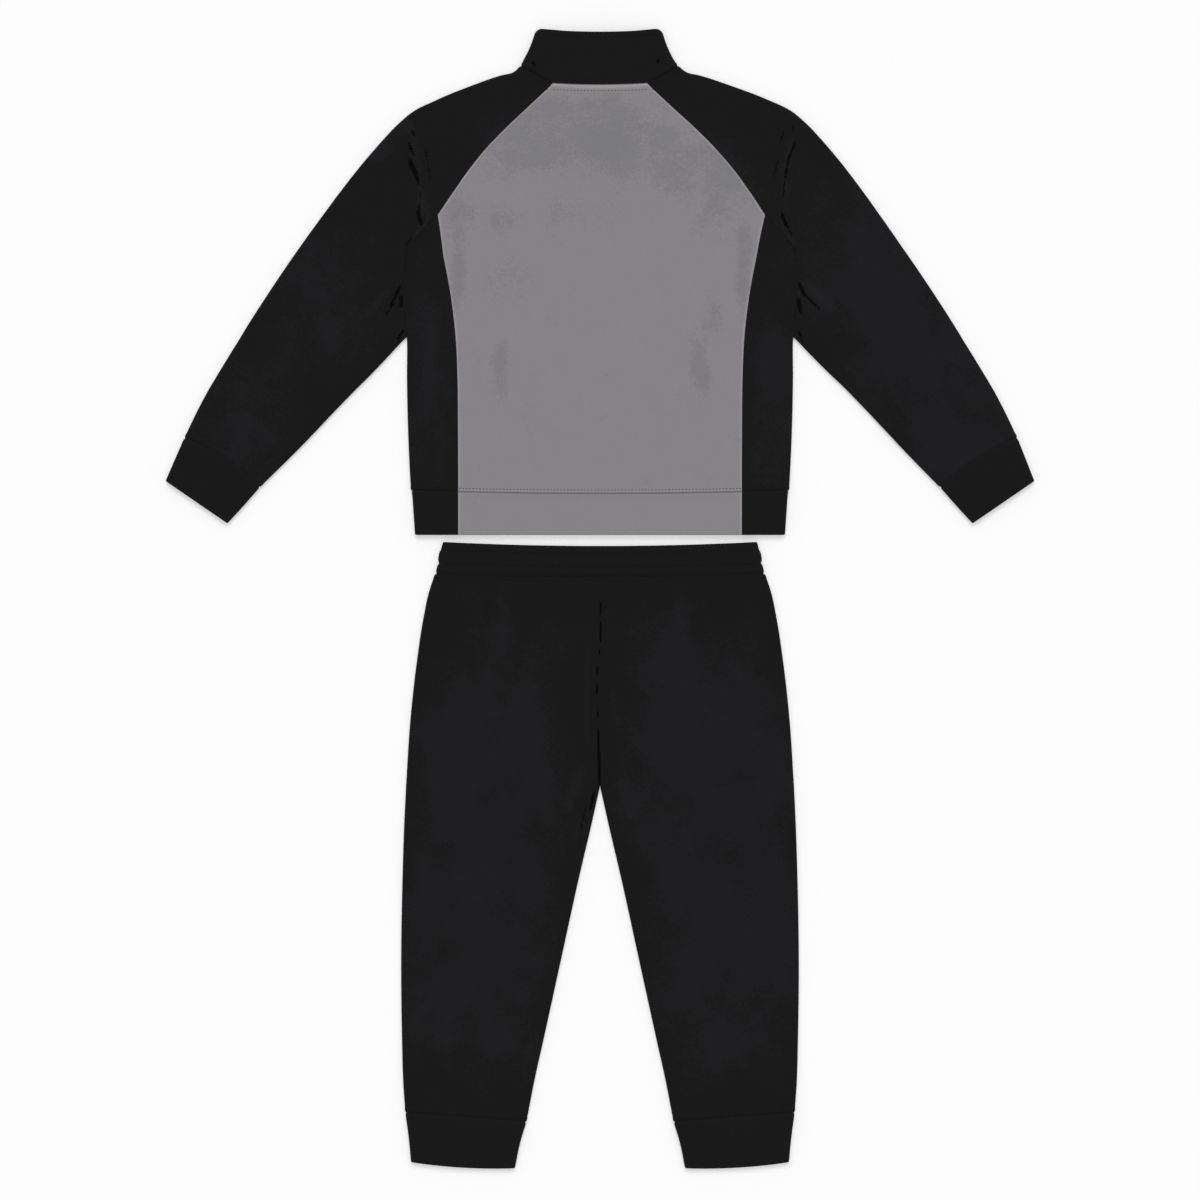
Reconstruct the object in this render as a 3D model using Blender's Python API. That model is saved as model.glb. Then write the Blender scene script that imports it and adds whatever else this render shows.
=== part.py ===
"""
A child's tracksuit laid flat on its front and seen from its back: a zip jacket with a stand
collar and raglan sleeves, and below it a pair of joggers.

Each cut-and-sewn piece is its own object, a thin wall of knit cloth. The garment lies in two
layers: a lower layer flat on the ground (the front) and an upper layer on it (the back), joined
by rounded folds at the outline. +Y runs up to the collar, +X to the wearer's right, +Z up, and
the ground is z = 0. All sizes below are in millimetres.
"""
import math

import bmesh
import bpy
from mathutils import Matrix, Vector

MM = 0.001

# Walls, and the height of the underside of the upper layer above the ground
CLOTH_WALL = 1.4
BAND_WALL = 2.0
COLLAR_WALL = 2.2
JACKET_INSIDE = 2.4
TROUSER_INSIDE = 2.0
BAND_INSIDE = 2.6
COLLAR_INSIDE = 2.8

SEAM_GAP = 0.3
EDGE_RADIUS = 4.0
EDGE_STUB = 6.0
ARC_STEPS = 3

# How many parts each panel is divided into across, and down
BACK_COLUMNS = 16
FRONT_COLUMNS = 6
SIDE_COLUMNS = 2
SLEEVE_COLUMNS = 8
UNDERSIDE_COLUMNS = 2
COLLAR_STEPS = 4
HEM_COLUMNS = 8
HEM_FRONT_COLUMNS = 4
LEG_BACK_COLUMNS = 14
LEG_FRONT_COLUMNS = 4
WAISTBAND_COLUMNS = 72
WAISTBAND_UNDERSIDE_COLUMNS = 8
STRIP_STEPS = 16

# The zip slider under the collar lifts the cloth round it
LIFT = 2.8
LIFT_HALF_WIDTH = 60.0
LIFT_FROM_Y = 380.0
LIFT_FULL_Y = 448.0
UPPER_LIFT_RATIO = 1.6

# Jacket: one side's outline, used for both. The sleeve rows run from the neck to the cuff:
# fold is the shoulder and outer sleeve edge; back and front are the raglan seams, then the
# armhole seam, then the underarm edge.
#   row name     fold x, y       back x, y       front x, y
SLEEVE_ROWS = [
    ("neck",     71.6, 490.0,    43.2, 474.0,    50.0, 452.0),
    ("collar",   80.6, 483.8,    46.4, 470.4,    53.6, 448.0),
    ("yoke",    120.5, 471.5,    69.0, 449.4,    73.0, 428.5),
    ("blade",   153.5, 458.6,    88.8, 431.0,    91.0, 411.0),
    ("corner",  175.0, 448.0,   106.7, 412.6,   109.0, 394.0),
    ("upper",   188.6, 436.5,   121.9, 394.2,   124.0, 379.0),
    ("chest",   202.4, 421.8,   134.8, 375.8,   137.0, 366.0),
    ("joint",   218.0, 403.4,   150.6, 352.8,   150.6, 352.8),
    ("armhole", 250.5, 360.5,   179.4, 320.6,   179.4, 320.6),
    ("tuck",    277.5, 324.0,   180.6, 280.0,   180.6, 280.0),
    ("armpit",  305.5, 283.0,   178.0, 240.6,   178.0, 240.6),
    ("bicep",   329.5, 245.5,   206.0, 211.2,   206.0, 211.2),
    ("elbow",   351.0, 208.5,   242.0, 174.3,   242.0, 174.3),
    ("forearm", 370.0, 173.6,   278.0, 136.6,   278.0, 136.6),
    ("cuff",    382.3, 148.1,   312.5, 102.6,   312.5, 102.6),
]
UNDERARM_GAP = 0.4
UNDERARM_END_Y = 240.0
CUFF_SEAM_BOW = (-2.5, 3.8)
CUFF_BOWS = (CUFF_SEAM_BOW, (-1.4, 2.1), (0, 0))
CUFF_ROWS = [
    ("seam",    382.3, 148.1,   312.5, 102.6),
    ("middle",  391.5, 127.0,   328.0,  85.0),
    ("hem",     399.7, 108.1,   342.7,  69.0),
]

#   y,      half width at the side seam, at the side fold
BODY_ROWS = [
    (352.8, 150.6, 183.0),
    (320.6, 145.0, 179.4),
    (280.0, 137.5, 180.2),
    (240.6, 132.8, 177.6),
    (201.0, 131.0, 177.6),
    (155.0, 130.6, 176.6),
    (113.6, 130.4, 174.8),
    (99.4,  130.4, 173.9),
]
HEM_SEAM_SIDE_Y = 98.2
HEM_SEAM_FOLD_Y = 99.4
HEM_SEAM_SAG = -1.6
HEM_Y = 58.4
HEM_SEAM_FOLD_X = 173.0
HEM_FOLD_X = 170.2
BACK_NECK_SAG = -2.0
FRONT_NECK_Y = 431.0
FRONT_NECK_BOW = -5.2
NECK_FADE = 32.0

COLLAR_TOP_FOLD = (56.5, 523.8)
COLLAR_TOP_BACK_Y = 520.3
COLLAR_TOP_FRONT_Y = 482.0
COLLAR_HOLLOW = 0.03
COLLAR_FRONT_CURVE = 1.7

# Zip
FRONT_EDGE_X = 8.0
TAPE_X = (3.1, 7.7)
TAPE_WALL = 1.0
TAPE_Z = 0.3
TAPE_LIFT_RATIO = 1.3
CHAIN_X = 2.8
CHAIN_WALL = 2.0
CHAIN_LIFT_RATIO = 1.232
CHAIN_TOP_Y = 474.6
SLIDER_Y = 475.0
SLIDER_LENGTH = 10.0
SLIDER_HALF_WIDTH = 4.0
PLATE_Z = ((2.45, 3.25), (5.65, 6.45))
POST_Y = (475.4, 479.4)
POST_HALF_WIDTH = 1.2
BAIL_HALF_WIDTH = 0.8
BAIL_Z = (0.3, 0.95)
BAIL_LEG = 0.8
BAIL_HALF_LENGTH = 3.2
BAIL_LEG_INSET = 0.02
BAIL_LEG_FOOT = 0.1
SINK_IN_PLATE = 0.3
HINGE_Z = 1.7
PULL_WALL = 0.8
PULL_LENGTH = 24.0
PULL_HALF_WIDTH = 3.0
PULL_NECK_HALF_WIDTH = 2.4
PULL_NECK_LENGTH = 6.0
PULL_SHOULDER_LENGTH = 9.0
PULL_ROUND_STEPS = 8
PULL_EYE_HALF_WIDTH = 1.4
PULL_EYE_LENGTH = 4.6
PULL_EYE_DEPTH = 3.0
PULL_TILT = 2.6
TAPE_SHORT_OF_EDGE = 0.5
CHAIN_SHORT_OF_HEM = 2.0

# Trousers: one leg, used for both. Rows run from the waist seam to the cuff seam.
#   row name    outer x, y        inner x, y
LEG_ROWS = [
    ("waist",   151.8,   22.5,     0.0,   20.2),
    ("gather",  156.9,    7.8,     0.0,    5.5),
    ("hip",     162.5,  -18.0,     0.0,  -18.0),
    ("seat",    168.3,  -56.0,     0.0,  -56.0),
    ("rise",    174.5, -111.8,     0.0, -111.8),
    ("crotch",  178.5, -172.5,     0.0, -172.5),
    ("fork",    180.0, -203.8,     6.9, -203.8),
    ("thigh",   181.8, -259.0,    19.8, -259.0),
    ("knee",    183.0, -332.6,    35.9, -332.6),
    ("calf",    182.2, -406.2,    52.0, -406.2),
    ("shin",    181.0, -447.0,    61.0, -447.0),
    ("cuff",    179.2, -472.4,    67.6, -481.2),
]
LEG_CUFF_ROWS = [
    ("seam",    179.2, -472.4,    67.6, -481.2),
    ("middle",  175.8, -498.0,    74.0, -503.0),
    ("hem",     173.9, -518.4,    78.2, -524.0),
]
LEG_CUFF_BOWS = ((0, 0), (0, -0.8), (0, -2.2))
WAIST_SEAM_BOW = -0.575

#   y at the side, half width, y at the centre
WAISTBAND_ROWS = [
    (22.5, 151.4, 20.2),
    (29.5, 149.6, 27.0),
    (36.0, 148.2, 33.4),
    (44.6, 146.4, 41.4),
    (52.0, 144.4, 48.3),
]
WAIST_GATHERS = 25
GATHER_PITCH = 11.6
GATHER_DRIFT = 2.0
GATHER_HEIGHT = 0.7
GATHER_LEAST = 0.5
GATHER_DRIFT_BEAT = 1.9
GATHER_HEIGHT_BEAT = 2.7
GATHER_FADE = 42.0

# Soft folds: ends, half width and height; a hollow has a height below zero
JACKET_FOLDS = [
    ("left shoulder crease",   -178, 440, -168, 392,  8,  1.0),
    ("left armhole crease",    -171, 402, -161, 344,  8,  1.0),
    ("left shoulder hollow",   -188, 434, -180, 385,  9, -0.4),
    ("right shoulder crease",   178, 444,  169, 394,  8,  1.0),
    ("right armhole crease",    168, 400,  169, 345,  8,  0.9),
    ("right shoulder hollow",   187, 430,  183, 380,  9, -0.4),
    ("left armpit pinch",      -186, 292, -214, 262,  8,  1.0),
    ("right armpit pinch",      186, 292,  216, 260,  8,  1.0),
    ("left back fold",          -82, 252, -101, 188, 11,  0.7),
    ("right back fold",          80, 252,  101, 190, 11,  0.7),
    ("left side hollow",       -132, 318, -124, 262, 10, -0.4),
    ("right side hollow",       134, 322,  125, 262, 10, -0.4),
    ("left elbow fold",        -262, 262, -240, 214, 14,  0.5),
    ("right elbow fold",        270, 250,  238, 208, 14,  0.5),
]
TROUSER_FOLDS = [
    ("left seat ridge",         -12, -28,  -14, -136, 8,  0.8),
    ("right seat ridge",         13, -70,   13, -150, 8,  0.6),
    ("left crotch fold",        -14, -150, -31, -200, 9,  1.0),
    ("right crotch fold",        15, -152,  33, -206, 9,  0.9),
    ("left inner leg fold",     -18, -206, -24, -236, 7,  0.7),
    ("left hip fold",           -92,   12,  -86,  -40, 11, 0.6),
    ("right hip fold",           72,   12,   80,  -44, 11, 0.6),
    ("left knee hollow",       -128, -296,  -88, -322, 16, -0.4),
    ("right knee hollow",       120, -290,   84, -318, 16, -0.4),
]

BLACK = (0.0115, 0.0115, 0.0122)
GREY = (0.236, 0.225, 0.240)
STEEL = (0.05, 0.05, 0.052)
SIDES = (("left", -1), ("right", 1))


def smooth(value):
    value = min(max(value, 0.0), 1.0)
    return value * value * (3 - 2 * value)


def mix(a, b, part):
    return a + (b - a) * part


def lift(x, y):
    """How far the zip slider holds the lower layer off the ground."""
    sideways = max(0.0, 1 - (x / LIFT_HALF_WIDTH) ** 2) ** 2
    upwards = smooth((y - LIFT_FROM_Y) / (LIFT_FULL_Y - LIFT_FROM_Y))
    return LIFT * sideways * upwards


def fold_height(folds, x, y):
    """The folds' summed height at a point, each a soft ridge that dies out at its ends."""
    height = 0.0
    for _, x0, y0, x1, y1, half_width, peak in folds:
        run = Vector((x1 - x0, y1 - y0))
        part = Vector((x - x0, y - y0)).dot(run) / run.length_squared
        if 0 < part < 1:
            away = abs(run.x * (y - y0) - run.y * (x - x0)) / run.length
            if away < half_width:
                ridge = math.cos(math.pi / 2 * away / half_width) ** 2
                height += peak * ridge * math.sqrt(4 * part * (1 - part))
    return height


def gather_height(x, y):
    """Puckers that the waist elastic draws up, deepest in the band and dying out below it."""
    middle = (WAIST_GATHERS - 1) / 2
    height = 0.0
    for index in range(WAIST_GATHERS):
        drift = GATHER_DRIFT * math.sin(GATHER_DRIFT_BEAT * index)
        away = abs(x - (index - middle) * GATHER_PITCH - drift) / (GATHER_PITCH / 2)
        if away < 1:
            share = mix(GATHER_LEAST, 1.0, 0.5 + 0.5 * math.sin(GATHER_HEIGHT_BEAT * index))
            height += share * math.cos(math.pi / 2 * away) ** 2
    seam = WAISTBAND_ROWS[0][0]
    fade = smooth(1 - (seam - y) / GATHER_FADE)
    return GATHER_HEIGHT * height * fade


class Cloth:
    """One kind of layering: its wall, the height inside it and the relief on its upper side."""

    def __init__(self, wall, inside, relief, lifted=False):
        self.wall = wall
        self.inside_height = inside
        self.relief = relief
        self.lifted = lifted

    def floor(self, x, y):
        return lift(x, y) if self.lifted else 0.0

    def inside(self, x, y):
        return self.inside_height + UPPER_LIFT_RATIO * self.floor(x, y)

    def top(self, x, y):
        return self.inside(x, y) + self.wall + self.relief(x, y)


def plain(x, y):
    return 0.0


JACKET = Cloth(CLOTH_WALL, JACKET_INSIDE, lambda x, y: fold_height(JACKET_FOLDS, x, y), True)
TROUSERS = Cloth(CLOTH_WALL, TROUSER_INSIDE,
                 lambda x, y: fold_height(TROUSER_FOLDS, x, y) + gather_height(x, y))
WAISTBAND = Cloth(BAND_WALL, BAND_INSIDE, gather_height)
BAND = Cloth(BAND_WALL, BAND_INSIDE, plain)
COLLAR = Cloth(COLLAR_WALL, COLLAR_INSIDE, plain, True)


def across(a, b, columns, bow=(0.0, 0.0), other=None):
    """
    A row's plan points from a to b. Its ends run straight, and its middle is bowed by the vector
    bow. Where the two layers of a fold at b come from different sides, other is where the other
    layer comes from, and the end at b runs half way between them.
    """
    a, b, bow = Vector(a), Vector(b), Vector(bow)
    inwards = (a - b).normalized()
    if other is not None:
        inwards = (inwards + (Vector(other) - b).normalized()).normalized()
    last = b + inwards * EDGE_STUB
    first = a + (last - a).normalized() * EDGE_STUB
    middle = [first.lerp(last, k / columns) for k in range(columns + 1)]
    bowed = [point + bow * (4 * k * (columns - k) / columns ** 2) for k, point in enumerate(middle)]
    return [a, *bowed, b]


def layer(cloth, path, side, upper, fold_start, fold_end):
    """
    One layer of cloth over the plan points of a row, as pairs of an outer and an inner point.
    At an end that is a fold, the layer turns down (or up) to the middle height on an ellipse.
    """
    inner_radius = EDGE_RADIUS - cloth.wall
    stops = []
    for end, beside, fold in ((path[0], path[1], fold_start), (path[-1], path[-2], fold_end)):
        along = (beside - end).normalized()
        arc = []
        for k in range(ARC_STEPS + 1):
            turn = math.pi / 2 * k / ARC_STEPS
            outer = end + along * (EDGE_RADIUS * (1 - math.cos(turn)))
            reach = inner_radius if fold else EDGE_RADIUS
            inner = end + along * (EDGE_RADIUS - reach * math.cos(turn))
            arc.append((outer, inner, (1 - math.sin(turn)) if fold else 0.0))
        stops.append(arc)
    inside_stops = [(point, point, 0.0) for point in path[1:-1]]
    pairs = []
    for outer, inner, turned in stops[0] + inside_stops + stops[1][::-1]:
        pair = []
        for point, is_outer in ((outer, True), (inner, False)):
            x, y = side * point.x, point.y
            floor, inside, top = cloth.floor(x, y), cloth.inside(x, y), cloth.top(x, y)
            if upper:
                z = top if is_outer else inside
            else:
                z = floor if is_outer else floor + cloth.wall
            z = mix(z, (floor + inside + cloth.wall) / 2, turned)
            pair.append(Vector((x, y, z)))
        pairs.append(tuple(pair))
    return pairs


def draw_back(rows, first=True, last=True, start=True, end=True):
    """Moves a wall's chosen edges inwards by half the seam gap, along the wall."""
    count, width = len(rows), len(rows[0])
    moves = [[Vector() for _ in range(width)] for _ in range(count)]

    def pull(i, j, inner_i, inner_j, edge):
        here = rows[i][j][0]
        inward = rows[inner_i][inner_j][0] - here
        tangent = edge.normalized()
        depth = (inward - tangent * inward.dot(tangent)).length
        moves[i][j] += inward * (SEAM_GAP / 2 / depth)

    for j in range(width):
        before, after = max(j - 1, 0), min(j + 1, width - 1)
        for wanted, i, inner_i in ((first, 0, 1), (last, count - 1, count - 2)):
            if wanted:
                pull(i, j, inner_i, j, rows[i][after][0] - rows[i][before][0])
    for i in range(count):
        before, after = max(i - 1, 0), min(i + 1, count - 1)
        for wanted, j, inner_j in ((start, 0, 1), (end, width - 1, width - 2)):
            if wanted:
                pull(i, j, i, inner_j, rows[after][j][0] - rows[before][j][0])
    return [[tuple(point + moves[i][j] for point in pair) for j, pair in enumerate(row)]
            for i, row in enumerate(rows)]


def fabric(name, colour, roughness=0.85, metallic=0.0):
    material = bpy.data.materials.new(name + "_finish")
    material.use_nodes = True
    shader = material.node_tree.nodes["Principled BSDF"]
    shader.inputs["Base Color"].default_value = (*colour, 1.0)
    shader.inputs["Roughness"].default_value = roughness
    shader.inputs["Metallic"].default_value = metallic
    return material


def add_object(name, work, material):
    bmesh.ops.recalc_face_normals(work, faces=work.faces)
    mesh = bpy.data.meshes.new(name)
    work.to_mesh(mesh)
    work.free()
    mesh.shade_smooth()
    mesh.set_sharp_from_angle(angle=math.radians(40))
    mesh.materials.append(material)
    result = bpy.data.objects.new(name, mesh)
    bpy.context.scene.collection.objects.link(result)
    return result


def wall(name, rows, colour, tube=False):
    """Makes a thin wall from rows of outer and inner points; a tube's rows close on themselves."""
    work = bmesh.new()
    grids = [[[work.verts.new(pair[face] * MM) for pair in row] for row in rows]
             for face in (0, 1)]
    outer, inner = grids
    count, width = len(rows), len(rows[0])
    steps = width if tube else width - 1
    for i in range(count - 1):
        for j in range(steps):
            k = (j + 1) % width
            work.faces.new((outer[i][j], outer[i][k], outer[i + 1][k], outer[i + 1][j]))
            work.faces.new((inner[i][j], inner[i + 1][j], inner[i + 1][k], inner[i][k]))
    for i in (0, count - 1):
        for j in range(steps):
            k = (j + 1) % width
            work.faces.new((outer[i][j], inner[i][j], inner[i][k], outer[i][k]))
    if not tube:
        for j in (0, width - 1):
            for i in range(count - 1):
                work.faces.new((outer[i][j], outer[i + 1][j], inner[i + 1][j], inner[i][j]))
    return add_object(name, work, fabric(name, colour))


def subdivided(table, times):
    """The table's rows without their names, with evenly mixed rows put in between."""
    numbers = [row[1:] for row in table]
    result = []
    for here, after in zip(numbers, numbers[1:]):
        for step in range(times):
            result.append([mix(a, b, step / times) for a, b in zip(here, after)])
    return result + [list(numbers[-1])]


def body_widths(y):
    """Half widths at the side seam and the side fold, read from the body table."""
    for (y0, *upper), (y1, *lower) in zip(BODY_ROWS, BODY_ROWS[1:]):
        if y >= y1:
            part = (y0 - y) / (y0 - y1)
            return [mix(a, b, part) for a, b in zip(upper, lower)]
    return BODY_ROWS[-1][1:]


ROW_SPLIT = 2
SLEEVE = subdivided(SLEEVE_ROWS, ROW_SPLIT)
JOINT_ROW = ROW_SPLIT * [row[0] for row in SLEEVE_ROWS].index("joint")
ARMHOLE_ROW = ROW_SPLIT * [row[0] for row in SLEEVE_ROWS].index("armhole")
BODY_STEPS = 12
JOINT_Y = SLEEVE_ROWS[JOINT_ROW // ROW_SPLIT][4]
ARMHOLE_Y = SLEEVE_ROWS[ARMHOLE_ROW // ROW_SPLIT][4]


def seam_rows(edge):
    """Points down a body panel's side: the raglan seam, then the side seam. edge 2 back, 4 front."""
    points = [(row[edge], row[edge + 1]) for row in SLEEVE[:JOINT_ROW]]
    for step in range(BODY_STEPS + 1):
        y = mix(JOINT_Y, HEM_SEAM_SIDE_Y, step / BODY_STEPS)
        points.append((body_widths(y)[0], y))
    return points


def neck_fade(below):
    """How much of the neck's curve a row still has at a distance below the neck seam."""
    return max(0.0, 1 - below / NECK_FADE)


def jacket_back():
    points = seam_rows(2)
    rows = []
    for index, (x, y) in enumerate(points):
        sag = BACK_NECK_SAG * neck_fade(points[0][1] - y)
        sag += HEM_SEAM_SAG * smooth(2 * index / (len(points) - 1) - 1)
        path = across((-x, y), (x, y), BACK_COLUMNS, (0, sag))
        rows.append(layer(JACKET, path, 1, True, False, False))
    wall("jacket_back", draw_back(rows), GREY)


def jacket_side(name, side):
    rows = []
    for step in range(BODY_STEPS + 1):
        part = step / BODY_STEPS
        seam_y = mix(JOINT_Y, HEM_SEAM_SIDE_Y, part)
        fold_y = mix(ARMHOLE_Y, HEM_SEAM_FOLD_Y, part)
        seam, fold = (body_widths(seam_y)[0], seam_y), (body_widths(fold_y)[1], fold_y)
        path = across(seam, fold, SIDE_COLUMNS)
        upper = layer(JACKET, path, side, True, False, True)
        lower = layer(JACKET, path[::-1], side, False, True, False)
        rows.append(upper + lower[1:])
    wall("jacket_side_" + name, draw_back(rows), BLACK)


def sleeve(name, side):
    rows = []
    last = len(SLEEVE) - 1
    for index, (fold_x, fold_y, back_x, back_y, front_x, front_y) in enumerate(SLEEVE):
        tube = index > ARMHOLE_ROW
        clear = UNDERARM_GAP if tube and back_y > UNDERARM_END_Y else 0.0
        part = max(0.0, (index - ARMHOLE_ROW) / (last - ARMHOLE_ROW)) ** 3
        bow = Vector(CUFF_SEAM_BOW) * part
        fold = (fold_x, fold_y)
        back, front = (back_x + clear, back_y), (front_x + clear, front_y)
        upper_path = across(back, fold, SLEEVE_COLUMNS, bow, front)
        upper = layer(JACKET, upper_path, side, True, tube, True)
        lower_path = across(front, fold, UNDERSIDE_COLUMNS, (0, 0), back)[::-1]
        lower = layer(JACKET, lower_path, side, False, True, tube)
        rows.append(upper + lower[1:])
    wall("sleeve_" + name, draw_back(rows), BLACK)


def cuff(name, side, table, cloth, bows):
    """A flattened tube of double cloth, from its seam to its hem."""
    rows = []
    for (_, outer_x, outer_y, inner_x, inner_y), bow in zip(table, bows):
        inner, outer = (inner_x, inner_y), (outer_x, outer_y)
        upper = layer(cloth, across(inner, outer, SLEEVE_COLUMNS, bow), side, True, True, True)
        lower = layer(cloth, across(outer, inner, UNDERSIDE_COLUMNS), side, False, True, True)
        rows.append(upper + lower[1:-1])
    wall(name, draw_back(rows, start=False, end=False), BLACK, tube=True)


def front_points():
    """Rows of a front panel: its edge beside the zip and its edge at the raglan and side seam."""
    points = seam_rows(4)
    top_y = points[0][1]
    rows = []
    for index, (x, y) in enumerate(points):
        above_joint = max(0.0, (y - JOINT_Y) / (top_y - JOINT_Y))
        centre_y = y + (FRONT_NECK_Y - top_y) * above_joint
        to_hem = smooth(2 * index / (len(points) - 1) - 1)
        bow = (0, FRONT_NECK_BOW * neck_fade(top_y - y))
        rows.append(((FRONT_EDGE_X, centre_y + HEM_SEAM_SAG * to_hem), (x, y), bow))
    return rows


def jacket_front(name, side):
    rows = []
    for centre, seam, bow in front_points():
        path = across(centre, seam, FRONT_COLUMNS, bow)
        rows.append(layer(JACKET, path, side, False, False, False))
    wall("jacket_front_" + name, draw_back(rows), GREY)


def collar_edges():
    """Plan points of the collar's neck seam and of its top edge: back right half, then front."""
    _, fold_x, fold_y, back_x, back_y, front_x, front_y = SLEEVE_ROWS[0]
    fold, back, front = (fold_x, fold_y), (back_x, back_y), (front_x, front_y)
    top = Vector(COLLAR_TOP_FOLD)
    centre, seam, bow = front_points()[0]
    middle = across((-back_x, back_y), back, FRONT_COLUMNS, (0, BACK_NECK_SAG))
    shoulder_back = across(back, fold, SIDE_COLUMNS, (0, 0), front)
    shoulder_front = across(front, fold, SIDE_COLUMNS, (0, 0), back)
    base_back = shoulder_back[:0:-1] + middle[:len(middle) // 2:-1]
    base_front = across(centre, seam, FRONT_COLUMNS, bow) + shoulder_front[1:]

    def top_back(point):
        share = point.x / fold_x
        return Vector((top.x * share, mix(COLLAR_TOP_BACK_Y, top.y, share ** 2)))

    def top_front(point):
        share = (point.x - FRONT_EDGE_X) / (fold_x - FRONT_EDGE_X)
        return Vector((mix(FRONT_EDGE_X, top.x, share),
                       mix(COLLAR_TOP_FRONT_Y, top.y, share ** COLLAR_FRONT_CURVE)))

    return ([(point, top_back(point)) for point in base_back],
            [(point, top_front(point)) for point in base_front])


def collar():
    back_edges, front_edges = collar_edges()
    rows = []
    for step in range(COLLAR_STEPS + 1):
        part = step / COLLAR_STEPS
        pinch = 1 - COLLAR_HOLLOW * 4 * part * (1 - part)

        def row(edges):
            points = [base.lerp(top, part) for base, top in edges]
            return [Vector((p.x * mix(1, pinch, p.x / COLLAR_TOP_FOLD[0]), p.y)) for p in points]

        front, half = row(front_edges), row(back_edges)
        back = half + [Vector((-p.x, p.y)) for p in half[::-1]]
        right = layer(COLLAR, front, 1, False, False, True)
        upper = layer(COLLAR, back, 1, True, True, True)
        left = layer(COLLAR, front[::-1], -1, False, True, False)
        rows.append(right + upper[1:] + left[1:])
    wall("collar", draw_back(rows), BLACK)


def hem_band():
    steps = (0.0, 0.5, 1.0)
    seam = Vector((body_widths(HEM_SEAM_SIDE_Y)[0], HEM_SEAM_SIDE_Y))
    centre_y = HEM_SEAM_SIDE_Y + HEM_SEAM_SAG
    seam_fold = Vector((HEM_SEAM_FOLD_X, HEM_SEAM_FOLD_Y))
    hem = Vector((seam.x, HEM_Y))
    backs = []
    for part in steps:
        edge = seam.lerp(hem, part)
        path = across((-edge.x, edge.y), edge, HEM_COLUMNS, (0, HEM_SEAM_SAG * (1 - part)))
        backs.append(layer(BAND, path, 1, True, False, False))
    wall("hem_band_back", draw_back(backs, last=False), GREY)
    for name, side in SIDES:
        fronts, sides = [], []
        for part in steps:
            edge = seam.lerp(hem, part)
            centre = (FRONT_EDGE_X, mix(centre_y, HEM_Y, part))
            fold = seam_fold.lerp(Vector((HEM_FOLD_X, HEM_Y)), part)
            path = across(centre, edge, HEM_FRONT_COLUMNS)
            fronts.append(layer(BAND, path, side, False, False, False))
            path = across(edge, fold, SIDE_COLUMNS)
            upper = layer(BAND, path, side, True, False, True)
            lower = layer(BAND, path[::-1], side, False, True, False)
            sides.append(upper + lower[1:])
        wall("hem_band_front_" + name, draw_back(fronts, last=False), GREY)
        wall("hem_band_side_" + name, draw_back(sides, last=False), BLACK)


def strip(name, side, x_range, z, wall_height, lift_ratio, y_range, colour):
    """A narrow strip along the centre front that rises with the lift under the collar."""
    rows = []
    for step in range(STRIP_STEPS + 1):
        y = mix(y_range[0], y_range[1], step / STRIP_STEPS)
        low = z + lift_ratio * lift(0, y)
        rows.append([(Vector((side * x, y, low)), Vector((side * x, y, low + wall_height)))
                     for x in x_range])
    return wall(name, rows, colour)


def zip_strips():
    for name, side in SIDES:
        strip("zip_tape_" + name, side, TAPE_X, TAPE_Z, TAPE_WALL, TAPE_LIFT_RATIO,
              (HEM_Y + TAPE_SHORT_OF_EDGE, COLLAR_TOP_FRONT_Y - TAPE_SHORT_OF_EDGE), BLACK)
    strip("zip_chain", 1, (-CHAIN_X, CHAIN_X), 0.0, CHAIN_WALL, CHAIN_LIFT_RATIO,
          (HEM_Y + CHAIN_SHORT_OF_HEM, CHAIN_TOP_Y), STEEL)


def block(name, low, high):
    """A plain box between two corners, for joining into a larger piece."""
    work = bmesh.new()
    bmesh.ops.create_cube(work, size=1.0)
    for vertex in work.verts:
        vertex.co = Vector([mix(a, b, c + 0.5) * MM for a, b, c in zip(low, high, vertex.co)])
    return add_object(name, work, fabric(name, STEEL, 0.35, 1.0))


def combine(base, tools, operation):
    """Joins blocks to a piece, or cuts them from it, and keeps them as hidden guides."""
    for tool in tools:
        tool.hide_render = True
        tool.display_type = "WIRE"
        boolean = base.modifiers.new(tool.name, "BOOLEAN")
        boolean.operation = operation
        boolean.solver = "EXACT"
        boolean.object = tool


def zip_slider():
    half = SLIDER_LENGTH / 2
    width = SLIDER_HALF_WIDTH
    (low0, low1), (high0, high1) = PLATE_Z
    base = block("zip_slider", (-width, SLIDER_Y - half, low0), (width, SLIDER_Y + half, low1))
    parts = [
        block("slider_upper_plate", (-width, SLIDER_Y - half, high0),
              (width, SLIDER_Y + half, high1)),
        block("slider_post", (-POST_HALF_WIDTH, POST_Y[0], low1 - SINK_IN_PLATE),
              (POST_HALF_WIDTH, POST_Y[1], high0 + SINK_IN_PLATE)),
        block("slider_bail_bar", (-BAIL_HALF_WIDTH, SLIDER_Y - BAIL_HALF_LENGTH, BAIL_Z[0]),
              (BAIL_HALF_WIDTH, SLIDER_Y + BAIL_HALF_LENGTH, BAIL_Z[1])),
    ]
    for name, end in (("slider_bail_leg_low", -1), ("slider_bail_leg_high", 1)):
        outside = SLIDER_Y + end * BAIL_HALF_LENGTH
        inside = outside - end * BAIL_LEG
        leg_width = BAIL_HALF_WIDTH - BAIL_LEG_INSET
        parts.append(block(name, (-leg_width, min(outside, inside), BAIL_Z[0] + BAIL_LEG_FOOT),
                           (leg_width, max(outside, inside), low0 + SINK_IN_PLATE)))
    combine(base, parts, "UNION")


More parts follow.
